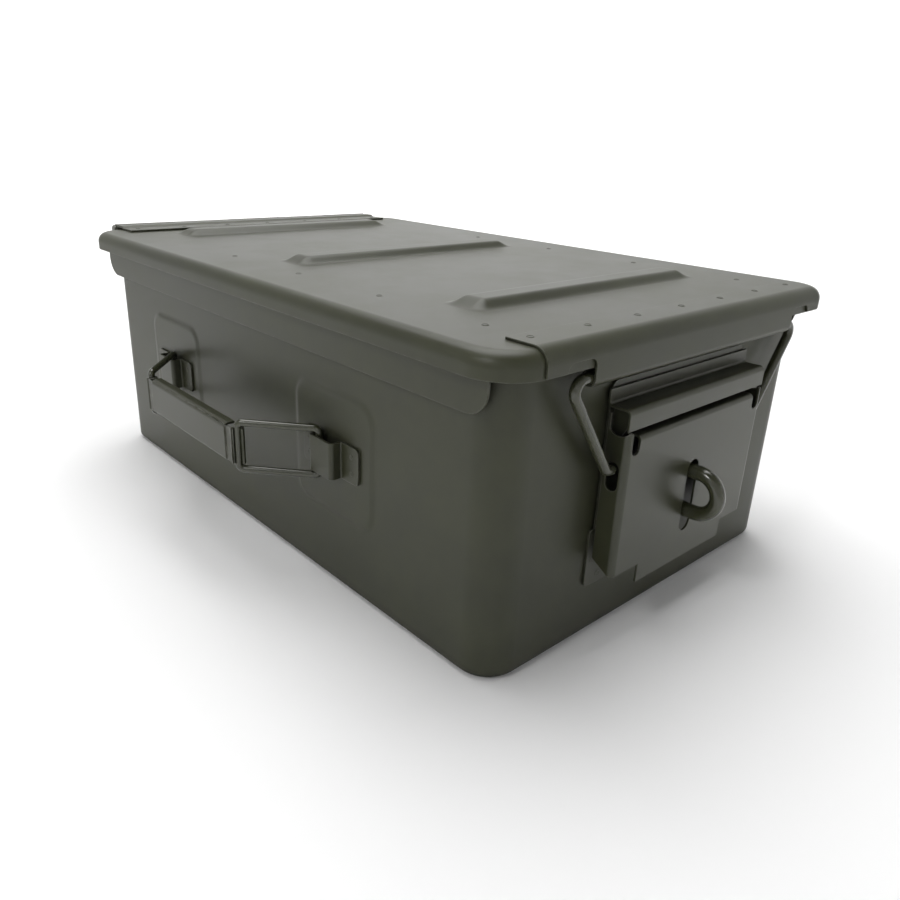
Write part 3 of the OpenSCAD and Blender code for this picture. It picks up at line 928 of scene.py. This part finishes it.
def rod_tree():
    """Rounds the corners of a chain of edges and sweeps a circle along it."""
    tree, given, result = new_tree("Bent Rod", [
        ("Rod Diameter", "NodeSocketFloat", 0.004),
        ("Bend Radius", "NodeSocketFloat", 0.003),
        ("Finish", "NodeSocketMaterial", None),
    ])
    curve = add(tree, "GeometryNodeMeshToCurve", {"Mesh": given.outputs["Geometry"]})
    bent = add(tree, "GeometryNodeFilletCurve", {"Curve": curve.outputs[0]}, mode="POLY")
    bent.inputs["Count"].default_value = BEND_POINTS
    bent.inputs["Limit Radius"].default_value = True
    tree.links.new(given.outputs["Bend Radius"], bent.inputs["Radius"])
    radius = add(tree, "ShaderNodeMath", {0: given.outputs["Rod Diameter"], 1: 0.5}, operation="MULTIPLY")
    circle = add(tree, "GeometryNodeCurvePrimitiveCircle", {
        "Resolution": ROD_SIDES, "Radius": radius.outputs[0],
    })
    tube = add(tree, "GeometryNodeCurveToMesh", {
        "Curve": bent.outputs[0], "Profile Curve": circle.outputs[0], "Fill Caps": True,
    })
    real = add(tree, "GeometryNodeRealizeInstances", {"Geometry": tube.outputs[0]})
    finish = add(tree, "GeometryNodeSetMaterial", {
        "Geometry": real.outputs[0], "Material": given.outputs["Finish"],
    })
    tree.links.new(finish.outputs[0], result.inputs[0])
    return tree


def chain(name, corners, closed=False):
    """Edges through a list of 3D corners, as a host for the rod tree."""
    count = len(corners)
    edges = [(i, (i + 1) % count) for i in range(count if closed else count - 1)]
    return new_piece(name, corners, edges=edges, outward=False)


ROD_TREE = rod_tree()


def rod(name, corners, diameter, bend, closed=False, end_edge=0.5):
    """A bent rod with its cut ends rounded over."""
    host = chain(name, corners, closed)
    piece = grow(name, host, ROD_TREE, Rod_Diameter=diameter * MM, Bend_Radius=bend * MM, Finish=rod_paint)
    face_outward(piece)
    return piece if closed else soften(piece, end_edge, angle=50)


print("rod tree has", len(ROD_TREE.nodes), "nodes")

# %% Draw the staple
staple_low, staple_high = span("padlock_staple")
staple_rod = staple_high.x - staple_low.x
leg = (staple_high.z - staple_low.z - staple_rod) / 2
staple_z = (staple_low.z + staple_high.z) / 2
reach = staple_low.y + staple_rod / 2
staple = rod(
    "staple_rod",
    [(0, staple_high.y, staple_z + leg), (0, reach, staple_z + leg),
     (0, reach, staple_z - leg), (0, staple_high.y, staple_z - leg)],
    staple_rod, leg - 2 * HAIR,
)
dress(staple, "case", "painted_rod", rod_paint, "padlock_staple")
print("staple rod", round(staple_rod, 2), "mm")

# %% Draw the bail
BAIL_BEND = 5
BAIL_OUT = 5
LEVER_GAP = 0.3
lever_low, lever_high = span("latch_lever")
bail_foot = lever_high.x + BAIL_OUT
bail_end = lever_high.x + LEVER_GAP
bail_z = bail_low.z + bail_rod / 2
corners = [
    (-bail_end, bail_z), (-bail_foot, bail_z), (-BAIL_TOP, bail_axis.z),
    (BAIL_TOP, bail_axis.z), (bail_foot, bail_z), (bail_end, bail_z),
]
bail = rod("bail_rod", [(x, bail_axis.y, z) for x, z in corners], bail_rod, BAIL_BEND)
dress(bail, "bail", "painted_rod", rod_paint, "latch_bail")
print("bail rod", round(bail_rod, 2), "mm")

# %% Draw the hinge pin
HEAD_THICKNESS = 1.6
HEAD_EDGE = 0.6
HEAD_OVERLAP = 1


def disc(radius):
    """A round section, as a function of how far it is drawn in."""
    def section(inset):
        turns = [2 * math.pi * k / ROD_SIDES for k in range(ROD_SIDES)]
        return [((radius - inset) * math.cos(t), (radius - inset) * math.sin(t)) for t in turns]
    return section


pin_rod = 2 * (curl_radius - LEAF / 2 - FIT)
pin_ends = (pin_low.x + HEAD_OVERLAP, pin_high.x - HEAD_OVERLAP)
pin = rod("hinge_pin_rod", [(x, hinge_axis.y, hinge_axis.z) for x in pin_ends], pin_rod, bend=1)
head_section = disc((pin_high.z - pin_low.z) / 2)
heads = []
for side in (-1, 1):
    end = side * pin_high.x
    head_path = [Vector((end - side * HEAD_THICKNESS, hinge_axis.y)), Vector((end, hinge_axis.y))]
    heads.append(swept("pin_head", head_path, head_section, "plan", hinge_axis.z, edge=HEAD_EDGE))
carve(pin, heads, "UNION")
dress(pin, "case", "painted_rod", rod_paint, "hinge_pin")

# %% [markdown]
# ## The catch on the body
# A plate with two feet is welded to the body's front. Above it a hood, open at the bottom,
# receives the lever's rolled edge, and two ears stiffen the hood.

# %% Draw the catch plate
FOOT_WIDTH = 18
FOOT_HEIGHT = 31
ARCH_HEIGHT = 53
SHOULDER = 4
catch_axis = pivots["lever_swing"]
catch_low, catch_high = span("latch_catch_plate")
foot_top = catch_low.z + FOOT_HEIGHT
arch_top = catch_low.z + ARCH_HEIGHT
arch_half = catch_high.x - FOOT_WIDTH
shoulder_x = catch_high.x - SHOULDER
foot_outline = [
    (-catch_high.x, catch_low.z), (-arch_half, catch_low.z), (-arch_half, arch_top), (arch_half, arch_top),
    (arch_half, catch_low.z), (catch_high.x, catch_low.z), (catch_high.x, foot_top),
    (shoulder_x, foot_top), (shoulder_x, catch_high.z), (-shoulder_x, catch_high.z),
    (-shoulder_x, foot_top), (-catch_high.x, foot_top),
]
foot_bends = [3, 3, 4, 4, 3, 3, 1.9, 0.05, 4, 4, 0.05, 1.9]
catch_plate = blank("catch_plate", rounded(foot_outline, foot_bends, closed=True), catch_low.y, catch_high.y)
soften(catch_plate, width=0.35)
dress(catch_plate, "case", "painted_latch", latch_paint, "latch_catch_plate")

# %% Draw the hood
HOOD_RISE = 5.4
HOOD_LIP_DROP = 4
HOOD_BEND = 2.0
EAR_INSET = 5
EAR_REACH = 3.4
EAR_DROP = 11
EAR_STRAIGHT = 1
EAR_BACK = 3
hood_low, hood_high = span("latch_catch_hood")
hood_web = catch_low.y - STEEL / 2
hood_front = hood_low.y + STEEL / 2
hood_top = catch_axis.z + HOOD_RISE
hood_path = rounded(
    [(hood_web, hood_high.z), (hood_web, hood_top), (hood_front, hood_top),
     (hood_front, catch_axis.z - HOOD_LIP_DROP)],
    HOOD_BEND,
)
hood = swept("catch_hood", hood_path, slab(STEEL, 2 * hood_high.x))
ear_front, ear_foot = catch_axis.y - EAR_REACH, catch_axis.z - EAR_DROP
ear_outline = rounded(
    [(hood_web, hood_top), (ear_front, hood_top), (ear_front, catch_axis.z - EAR_STRAIGHT),
     (catch_axis.y + EAR_BACK, ear_foot), (hood_web, ear_foot)],
    [0.05, 0.05, 2, 2, 0.05], closed=True,
)
ears = []
for side in (-1, 1):
    x = side * (hood_high.x - EAR_INSET)
    ears.append(blank("ear", ear_outline, x - STEEL / 2, x + STEEL / 2, "across"))
carve(hood, ears, "UNION")
soften(hood, width=0.22, angle=55)
dress(hood, "case", "painted_latch", latch_paint, "latch_catch_hood")

# %% [markdown]
# ## The latch lever
# The lever is a shallow channel: a face with two side flanges, bent with a small radius. Its top
# edge hooks back and rolls over inside the hood. A slot lets the staple through, a slot in
# each flange takes the bail's ends, and the lower edge leaves a finger tab. The channel is bent
# first and then clipped with cutters, and round-ended cuts free the ends of the hook last.

# %% Bend the lever's channel
LEVER_BEND = 2.6
FLANGE_BACK = 6.1
HOOK_RADIUS = 2.5
HOOK_SHORT = 9
face_low = lever_low.y
face_mid = face_low + STEEL / 2
flange_back = catch_axis.y + FLANGE_BACK
lever_half = lever_high.x
hook_half = lever_half - HOOK_SHORT
hook_top = catch_axis.z + HOOK_RADIUS
flange_x = lever_half - STEEL / 2
channel_path = rounded(
    [(-flange_x, flange_back), (-flange_x, face_mid), (flange_x, face_mid), (flange_x, flange_back)],
    LEVER_BEND,
)
channel = swept(
    "latch_lever_channel", channel_path, slab(STEEL, hook_top - lever_low.z), "plan",
    (hook_top + lever_low.z) / 2,
)
print("channel", round(2 * lever_half, 1), "mm wide")

# %% Shape the hook on its top edge
NOTCH_DROP = 14
WEB_DROP = 7.9
WEB_BACK = 5.5
HOOK_TURN = (100, 400)
web_y, web_z = catch_axis.y + WEB_BACK, catch_axis.z - WEB_DROP
hook_mid = HOOK_RADIUS - STEEL / 2
hook_path = rounded(
    [(face_mid, catch_axis.z - NOTCH_DROP - PAST), (face_mid, web_z), (web_y, web_z),
     (web_y, catch_axis.z + hook_mid), (catch_axis.y, catch_axis.z + hook_mid)],
    hook_mid,
) + arc((catch_axis.y, catch_axis.z), hook_mid, *HOOK_TURN)
print("hook path of", len(hook_path), "points")

# %% Clip and punch the channel
TAB = 10
TAB_HALF = 38.5
HOOK_CLEAR = 0.5
SWING_CLEAR = 7.05
SWING_TURN = (-135, -46)
NOSE_DROP = 5
NOSE_BACK = 4.9
FLANGE_RISE = 6
FLANGE_RAKE = 3.5
FACE_SKIN = 0.05
STAPLE_ROOM = 2
STAPLE_ROOM_BELOW = 8
STAPLE_ROOM_ABOVE = 2.5
BAIL_ROOM = 1.4
BAIL_SLOT = 14
BAIL_SLOT_DROP = 4
lever_foot = lever_low.z + TAB
far, front, back = lever_half + 5, face_low - PAST, flange_back + PAST
below, above = lever_low.z - PAST, hook_top + PAST


def end_clips():
    """The room above the face for the hook, and the corners beside the finger tab."""
    top_half = hook_half + HOOK_CLEAR
    top = box_outline(-top_half, top_half, catch_axis.z - NOTCH_DROP, above)
    cutters = [blank("cut", top, front, back)]
    for x, end in ((-TAB_HALF, -far), (TAB_HALF, far)):
        corner = [(x, below), (x, lever_foot), (end, lever_foot), (end, below)]
        cutters.append(blank("cut", corner, front, back))
    return cutters


def flange_clips():
    """The flanges' lower ends, and the round room in which the lever swings under the hood."""
    face_back = face_low + STEEL + FACE_SKIN
    foot = [
        (back, below), (back, lever_foot + FLANGE_RISE), (flange_back, lever_foot + FLANGE_RISE),
        (catch_axis.y - FLANGE_RAKE, lever_foot), (face_back, lever_foot), (face_back, below),
    ]
    pocket = arc((catch_axis.y, catch_axis.z), SWING_CLEAR, *SWING_TURN)
    nose = [(front, catch_axis.z - NOSE_DROP), (pocket[0].x, catch_axis.z - NOSE_DROP)]
    nose += pocket + [(catch_axis.y + NOSE_BACK, above), (front, above)]
    return [blank("cut", outline, -far, far, "across") for outline in (foot, nose)]


def slots():
    """The staple's slot in the face and the bail's slot in both flanges."""
    slot_low = staple_z - leg - staple_rod / 2 - STAPLE_ROOM_BELOW
    slot_high = staple_z + leg + staple_rod / 2 + STAPLE_ROOM_ABOVE
    for_staple = capsule(0, (slot_low + slot_high) / 2, staple_rod + STAPLE_ROOM, slot_high - slot_low)
    for_bail = capsule(bail_axis.y, bail_z - BAIL_SLOT_DROP, bail_rod + BAIL_ROOM, BAIL_SLOT)
    return [blank("cut", for_staple, front, back), blank("cut", for_bail, -far, far, "across")]


carve(channel, end_clips() + flange_clips() + slots())

# %% Join the hook and free its ends
RELIEF_WIDTH = 6
RELIEF_OFFSET = 2.9
RELIEF_BELOW = 2
RELIEF_STOP = 3


def bend_reliefs():
    """Round-ended cuts that free the ends of the hook from the face."""
    places = [side * (hook_half + RELIEF_OFFSET) for side in (-1, 1)]
    height = 2 * (NOTCH_DROP + RELIEF_BELOW)
    outlines = [capsule(x, catch_axis.z, RELIEF_WIDTH, height) for x in places]
    return [blank("cut", outline, front, catch_axis.y - RELIEF_STOP) for outline in outlines]


carve(channel, [swept("hook", hook_path, slab(STEEL, 2 * hook_half))], "UNION")
carve(channel, bend_reliefs())
merge_flats(channel)
soften(channel, width=0.22, angle=50)
dress(channel, "lever", "painted_latch", latch_paint, "latch_lever")

# %% [markdown]
# ## The side handles
# Each handle is a flat grip with folded edges, two rod links and two strap brackets. The
# grip's ends curl round one bar of each link, and the other bar slides in the tunnel under a
# bracket. One function draws each kind of piece, and the sign of its side mirrors its numbers
# for the other handle.

# %% Fold a strap bracket
STRAP_FOOT = 15
STRAP_BEND = 1.6
STRAP_CORNER = 3
STRAP_CORNER_STEPS = 6
STRAP_EDGE = 0.35


def faces_of(low, high, side):
    """The middle of the sheet at a node's inner and outer faces."""
    near, out = sorted((abs(low.x), abs(high.x)))
    return side * (near + HANDLE_STEEL / 2), side * (out - HANDLE_STEEL / 2)


def strap_bracket(name, node, side):
    """A strap with two feet and a raised tunnel between them."""
    low, high = span(node)
    wall, web = faces_of(low, high, side)
    corners = [
        (wall, low.y), (wall, low.y + STRAP_FOOT), (web, low.y + STRAP_FOOT),
        (web, high.y - STRAP_FOOT), (wall, high.y - STRAP_FOOT), (wall, high.y),
    ]
    section = slab(HANDLE_STEEL, high.z - low.z, STRAP_EDGE)
    path = rounded(corners, STRAP_BEND)
    strap = swept(name, path, section, "plan", (low.z + high.z) / 2, edge=STRAP_EDGE)
    trims = []
    for foot_y, inward in ((low.y, 1), (high.y, -1)):
        for edge_z, down in ((high.z, -1), (low.z, 1)):
            centre = Vector((foot_y + STRAP_CORNER * inward, edge_z + STRAP_CORNER * down))
            corner = [Vector((foot_y - inward, edge_z - down))]
            for k in range(STRAP_CORNER_STEPS + 1):
                a = math.radians(90 * k / STRAP_CORNER_STEPS)
                corner.append(centre + Vector((-inward * math.sin(a), -down * math.cos(a))) * STRAP_CORNER)
            trims.append(blank("cut", corner, wall - PAST, wall + PAST, "across"))
    return carve(strap, trims)


print("bracket feet", STRAP_FOOT, "mm long")

# %% Bend a link
LINK_ROD = 4.0
LINK_BEND = 2.8


def handle_link(name, node):
    """A rod bent into a flat loop that leans from the bracket to the grip."""
    low, high = span(node)
    leans_out = ("left" in node) == ("front" in node)
    inset = Vector((1, 1, 1)) * LINK_ROD / 2
    low, high = low + inset, high - inset
    start, end = ((high.x, low.y), (low.x, high.y)) if leans_out else ((high.x, high.y), (low.x, low.y))
    corners = [(*start, low.z), (*end, low.z), (*end, high.z), (*start, high.z)]
    return rod(name, corners, LINK_ROD, LINK_BEND, closed=True)


print("link rod", LINK_ROD, "mm")

# %% Fold a grip
GRIP_DEPTH = 6.5
GRIP_GAP = 8
GRIP_BEND = 2.2
GRIP_CURL = 250
GRIP_EDGE = 0.4
CURL_NARROW = 2


def grip(name, node, side):
    """A strip with folded edges, its ends curled round the links' bars."""
    low, high = span(node)
    middle, height = (low.z + high.z) / 2, high.z - low.z
    face = faces_of(low, high, side)[1]
    curl_mid = LINK_ROD / 2 + FIT + HANDLE_STEEL / 2
    bar_x = face - side * curl_mid
    ends = (low.y + curl_mid + HANDLE_STEEL / 2, high.y - curl_mid - HANDLE_STEEL / 2)
    outward = 0 if side > 0 else 180
    curl = side * GRIP_CURL
    strip_path = arc((bar_x, ends[0]), curl_mid, outward + curl, outward)
    strip_path += arc((bar_x, ends[1]), curl_mid, outward, outward - curl)
    strip = slab(HANDLE_STEEL, height - CURL_NARROW, GRIP_EDGE)
    curls = swept(name + "_curls", strip_path, strip, "plan", middle, edge=GRIP_EDGE)
    fold_low, fold_high = ends[0] + GRIP_GAP, ends[1] - GRIP_GAP
    inner_x = face + side * (HANDLE_STEEL / 2 - GRIP_DEPTH)
    bottom, top = middle - (height - HANDLE_STEEL) / 2, middle + (height - HANDLE_STEEL) / 2
    folds = rounded([(inner_x, bottom), (face, bottom), (face, top), (inner_x, top)], GRIP_BEND)
    folded = slab(HANDLE_STEEL, fold_high - fold_low, GRIP_EDGE)
    bar = swept(name, folds, folded, "front", (fold_low + fold_high) / 2, edge=GRIP_EDGE)
    carve(bar, [curls], "UNION")
    return soften(bar, width=0.25, angle=50)


print("grip folds", GRIP_DEPTH, "mm deep")

# %% Put both handles together
for side, out in (("left", -1), ("right", 1)):
    for end in ("front", "rear"):
        part = f"{side}_{end}"
        strap = strap_bracket(part + "_strap", part + "_bracket", out)
        dress(strap, "case", "painted_handle", handle_paint, part + "_bracket")
        link = handle_link(part + "_loop", part + "_link")
        dress(link, part + "_link_body", "painted_rod", rod_paint, part + "_link")
    bar = grip(side + "_grip_bar", side + "_grip", out)
    dress(bar, side + "_grip_body", "painted_handle", handle_paint, side + "_grip")

# %% [markdown]
# ## Spot welds with Geometry Nodes
# Spot welds repeat all over the box. Each is a shallow round dent with a soft rim. The places
# are single points that carry the direction they face, and one tree puts a small weld on
# every point. Two inputs set the weld's radius and its rim's height.

# %% Build the weld tree
WELD_SIDES = 20
RIM_SIDES = 8


def weld_tree():
    """Puts a disc with a raised rim on every point, turned to face as the point says."""
    tree, given, result = new_tree("Spot Welds", [
        ("Weld Radius", "NodeSocketFloat", 0.0015),
        ("Rim Height", "NodeSocketFloat", 0.0002),
        ("Finish", "NodeSocketMaterial", None),
    ])
    circle = add(tree, "GeometryNodeCurvePrimitiveCircle", {
        "Resolution": WELD_SIDES, "Radius": given.outputs["Weld Radius"],
    })
    rim_section = add(tree, "GeometryNodeCurvePrimitiveCircle", {
        "Resolution": RIM_SIDES, "Radius": given.outputs["Rim Height"],
    })
    rim = add(tree, "GeometryNodeCurveToMesh", {
        "Curve": circle.outputs[0], "Profile Curve": rim_section.outputs[0],
    })
    dent = add(tree, "GeometryNodeMeshCircle", {
        "Vertices": WELD_SIDES, "Radius": given.outputs["Weld Radius"],
    }, fill_type="TRIANGLE_FAN")
    quarter = add(tree, "ShaderNodeMath", {0: given.outputs["Rim Height"], 1: 0.25}, operation="MULTIPLY")
    lift = add(tree, "ShaderNodeCombineXYZ", {"Z": quarter.outputs[0]})
    raised = add(tree, "GeometryNodeTransform", {
        "Geometry": dent.outputs[0], "Translation": lift.outputs[0],
    })
    weld = add(tree, "GeometryNodeJoinGeometry")
    tree.links.new(rim.outputs[0], weld.inputs[0])
    tree.links.new(raised.outputs[0], weld.inputs[0])
    facing = add(tree, "GeometryNodeInputNamedAttribute", {"Name": "facing"}, data_type="FLOAT_VECTOR")
    turned = add(tree, "FunctionNodeAlignRotationToVector", {"Vector": facing.outputs[0]}, axis="Z")
    placed = add(tree, "GeometryNodeInstanceOnPoints", {
        "Points": given.outputs["Geometry"], "Instance": weld.outputs[0], "Rotation": turned.outputs[0],
    })
    real = add(tree, "GeometryNodeRealizeInstances", {"Geometry": placed.outputs[0]})
    finish = add(tree, "GeometryNodeSetMaterial", {
        "Geometry": real.outputs[0], "Material": given.outputs["Finish"],
    })
    tree.links.new(finish.outputs[0], result.inputs[0])
    return tree


WELD_TREE = weld_tree()
print("weld tree has", len(WELD_TREE.nodes), "nodes")


def spot_welds(name, body, slot, material, places, radius=1.5, rim=0.2):
    """Welds at (point, direction) places, as one plain mesh."""
    host = new_piece(name, [point for point, _ in places], outward=False)
    facing = host.data.attributes.new("facing", "FLOAT_VECTOR", "POINT")
    for i, (_, direction) in enumerate(places):
        facing.data[i].vector = direction
    welds = grow(name, host, WELD_TREE, Weld_Radius=radius * MM, Rim_Height=rim * MM, Finish=material)
    return dress(welds, body, slot, material)


# %% Weld the lid
UP, FRONT, BACK = (0, 0, 1), (0, -1, 0), (0, 1, 0)
PLATE_WELD_IN = 6
LEAF_WELD_IN = 7
ACROSS = [x * 36 for x in range(-3, 4)]
SIDE_ROW_X = 105
SIDE_ROW = [-167.3 + 72.4 * k for k in range(4)]
front_row = [((x, plate_high.y - PLATE_WELD_IN, plate_high.z), UP) for x in ACROSS]
side_rows = [((side * SIDE_ROW_X, y, lid_top), UP) for side in (-1, 1) for y in SIDE_ROW]
leaf_row = [((x, lid_leaf_low.y + LEAF_WELD_IN, lid_top + LEAF), UP) for x in ACROSS]
spot_welds("lid_welds", "lid", "painted_lid", lid_paint, front_row + side_rows + leaf_row)

# %% Weld the brackets, the catch and the hinge
STRAP_WELD_IN = 5.5
STRAP_WELD_UP = 4.5
HINGE_WELD_UP = 8
bracket_welds = []
for side, out in (("left", -1), ("right", 1)):
    for end in ("front", "rear"):
        low, high = span(f"{side}_{end}_bracket")
        face = out * (min(abs(low.x), abs(high.x)) + HANDLE_STEEL)
        for y in (low.y + STRAP_WELD_IN, high.y - STRAP_WELD_IN):
            for z in (-STRAP_WELD_UP, STRAP_WELD_UP):
                bracket_welds.append(((face, y, handle_z + z), (out, 0, 0)))
spot_welds("bracket_welds", "case", "painted_handle", handle_paint, bracket_welds, radius=1.3, rim=0.18)

catch_places = [
    (52, catch_low.z + 5), (57.5, catch_low.z + 14), (57, catch_high.z - 4.5), (20, catch_high.z - 4),
]
catch_welds = [((side * x, catch_low.y, z), FRONT) for side in (-1, 1) for x, z in catch_places]
spot_welds("catch_welds", "case", "painted_latch", latch_paint, catch_welds, radius=1.4, rim=0.18)
hinge_welds = [((x, leaf_low.y + LEAF, leaf_low.z + HINGE_WELD_UP), BACK) for x in ACROSS]
spot_welds("hinge_welds", "case", "painted_body", body_paint, hinge_welds)

# %% [markdown]
# ## Floor and light
# The box stands on a pale sweep that curves up far behind it, so there is no horizon line. A large
# soft light hangs above the box. A second one washes the sweep behind it, so that the background
# stays pale, and a small one at the left catches the edges of the latch and the rods.

# %% Draw the sweep
SWEEP_RADIUS = 3200
SWEEP_BEND = 1000
SWEEP_RISE = 3200
SWEEP_SIDES = 72
PALE = (0.94, 0.94, 0.94)


def pale_finish(name):
    """A matt, pale floor with a trace of drift in its tone."""
    material, tree, shader, where = new_finish(name)
    tint = remap(tree, noise(tree, where, scale=3.0), low=0.3, high=0.7)
    tree.links.new(blended(tree, tint, shade(PALE, 0.99), PALE), shader.inputs["Base Color"])
    shader.inputs["Roughness"].default_value = 0.9
    shader.inputs["Specular IOR Level"].default_value = 0.1
    return material


sweep_profile = [Vector((r, 0)) for r in (0, 400, 1200, 2200)]
sweep_profile += arc((SWEEP_RADIUS - SWEEP_BEND, SWEEP_BEND), SWEEP_BEND, -80, 0)
sweep_profile.append(Vector((SWEEP_RADIUS, SWEEP_RISE)))
points, faces = [], []
for p in sweep_profile:
    for k in range(SWEEP_SIDES):
        a = 2 * math.pi * k / SWEEP_SIDES
        points.append((p.x * math.cos(a), p.x * math.sin(a), p.y))
for i in range(len(sweep_profile) - 1):
    a, b = i * SWEEP_SIDES, (i + 1) * SWEEP_SIDES
    for k in range(SWEEP_SIDES):
        n = (k + 1) % SWEEP_SIDES
        faces.append((a + k, a + n, b + n, b + k))
floor = new_piece("floor_sweep", points, faces, outward=False)
floor.data.materials.append(pale_finish("pale floor"))
floor.data.shade_smooth()
print("sweep", SWEEP_RADIUS, "mm in radius")

# %% Set the lights
ROOM_LIGHT = 0.14
BOX_MIDDLE = (0, 0, 0.08)
bpy.context.scene.view_settings.view_transform = "Standard"
world = bpy.data.worlds.new("soft room")
bpy.context.scene.world = world
world.use_nodes = True
room = world.node_tree.nodes["Background"].inputs
room["Color"].default_value = (1, 1, 1, 1)
room["Strength"].default_value = ROOM_LIGHT


def softbox(name, place, size, watts, target=BOX_MIDDLE):
    """A square light that faces the target, its place and size in metres."""
    light = bpy.data.lights.new(name, "AREA")
    light.shape = "SQUARE"
    light.size = size
    light.energy = watts
    lamp = new_object(name, light)
    lamp.location = place
    lamp.visible_camera = False
    lamp.rotation_euler = (Vector(target) - Vector(place)).to_track_quat("-Z", "Y").to_euler()
    print(name, watts, "W")


softbox("overhead", (0.2, 0.5, 2.0), size=1.8, watts=43)
softbox("wall_wash", (0.9, 1.0, 1.7), size=1.2, watts=36, target=(2.3, 2.5, 0.5))
softbox("edge_light", (-1.5, -0.2, 1.3), size=0.3, watts=6)

# %% [markdown]
# ## The camera
# The camera stands off the front left corner, a little above the lid, close enough for strong
# perspective. Its small shift keeps the box where it belongs in the frame.

# %% Set the camera
CAMERA_PLACE = Vector((-331.7, -387.3, 231.3)) * MM
AZIMUTH, ELEVATION, ROLL = (math.radians(a) for a in (-42.25, 21.17, -2.10))
view_direction = Vector((
    -math.sin(AZIMUTH) * math.cos(ELEVATION), math.cos(AZIMUTH) * math.cos(ELEVATION), -math.sin(ELEVATION)
))
right = view_direction.cross(Vector((0, 0, 1))).normalized()
down = view_direction.cross(right)
rolled_right = right * math.cos(ROLL) + down * math.sin(ROLL)
rolled_down = down * math.cos(ROLL) - right * math.sin(ROLL)
lens = bpy.data.cameras.new("camera")
lens.lens = 30.62
lens.sensor_width = 36
lens.shift_x, lens.shift_y = 0.018, -0.0193
lens.clip_start, lens.clip_end = 0.01, 20
camera = new_object("camera", lens)
camera.location = CAMERA_PLACE
camera.rotation_mode = "QUATERNION"
axes = Matrix((rolled_right, -rolled_down, -view_direction)).transposed()
camera.rotation_quaternion = axes.to_quaternion()
bpy.context.scene.camera = camera
print("camera at", [round(c, 3) for c in camera.location])

# %% [markdown]
# ## Finish
# The dressed box has to keep the size of its frame. The last step only brings the scene up to date.

# %% Bring the scene up to date
bpy.context.view_layer.update()
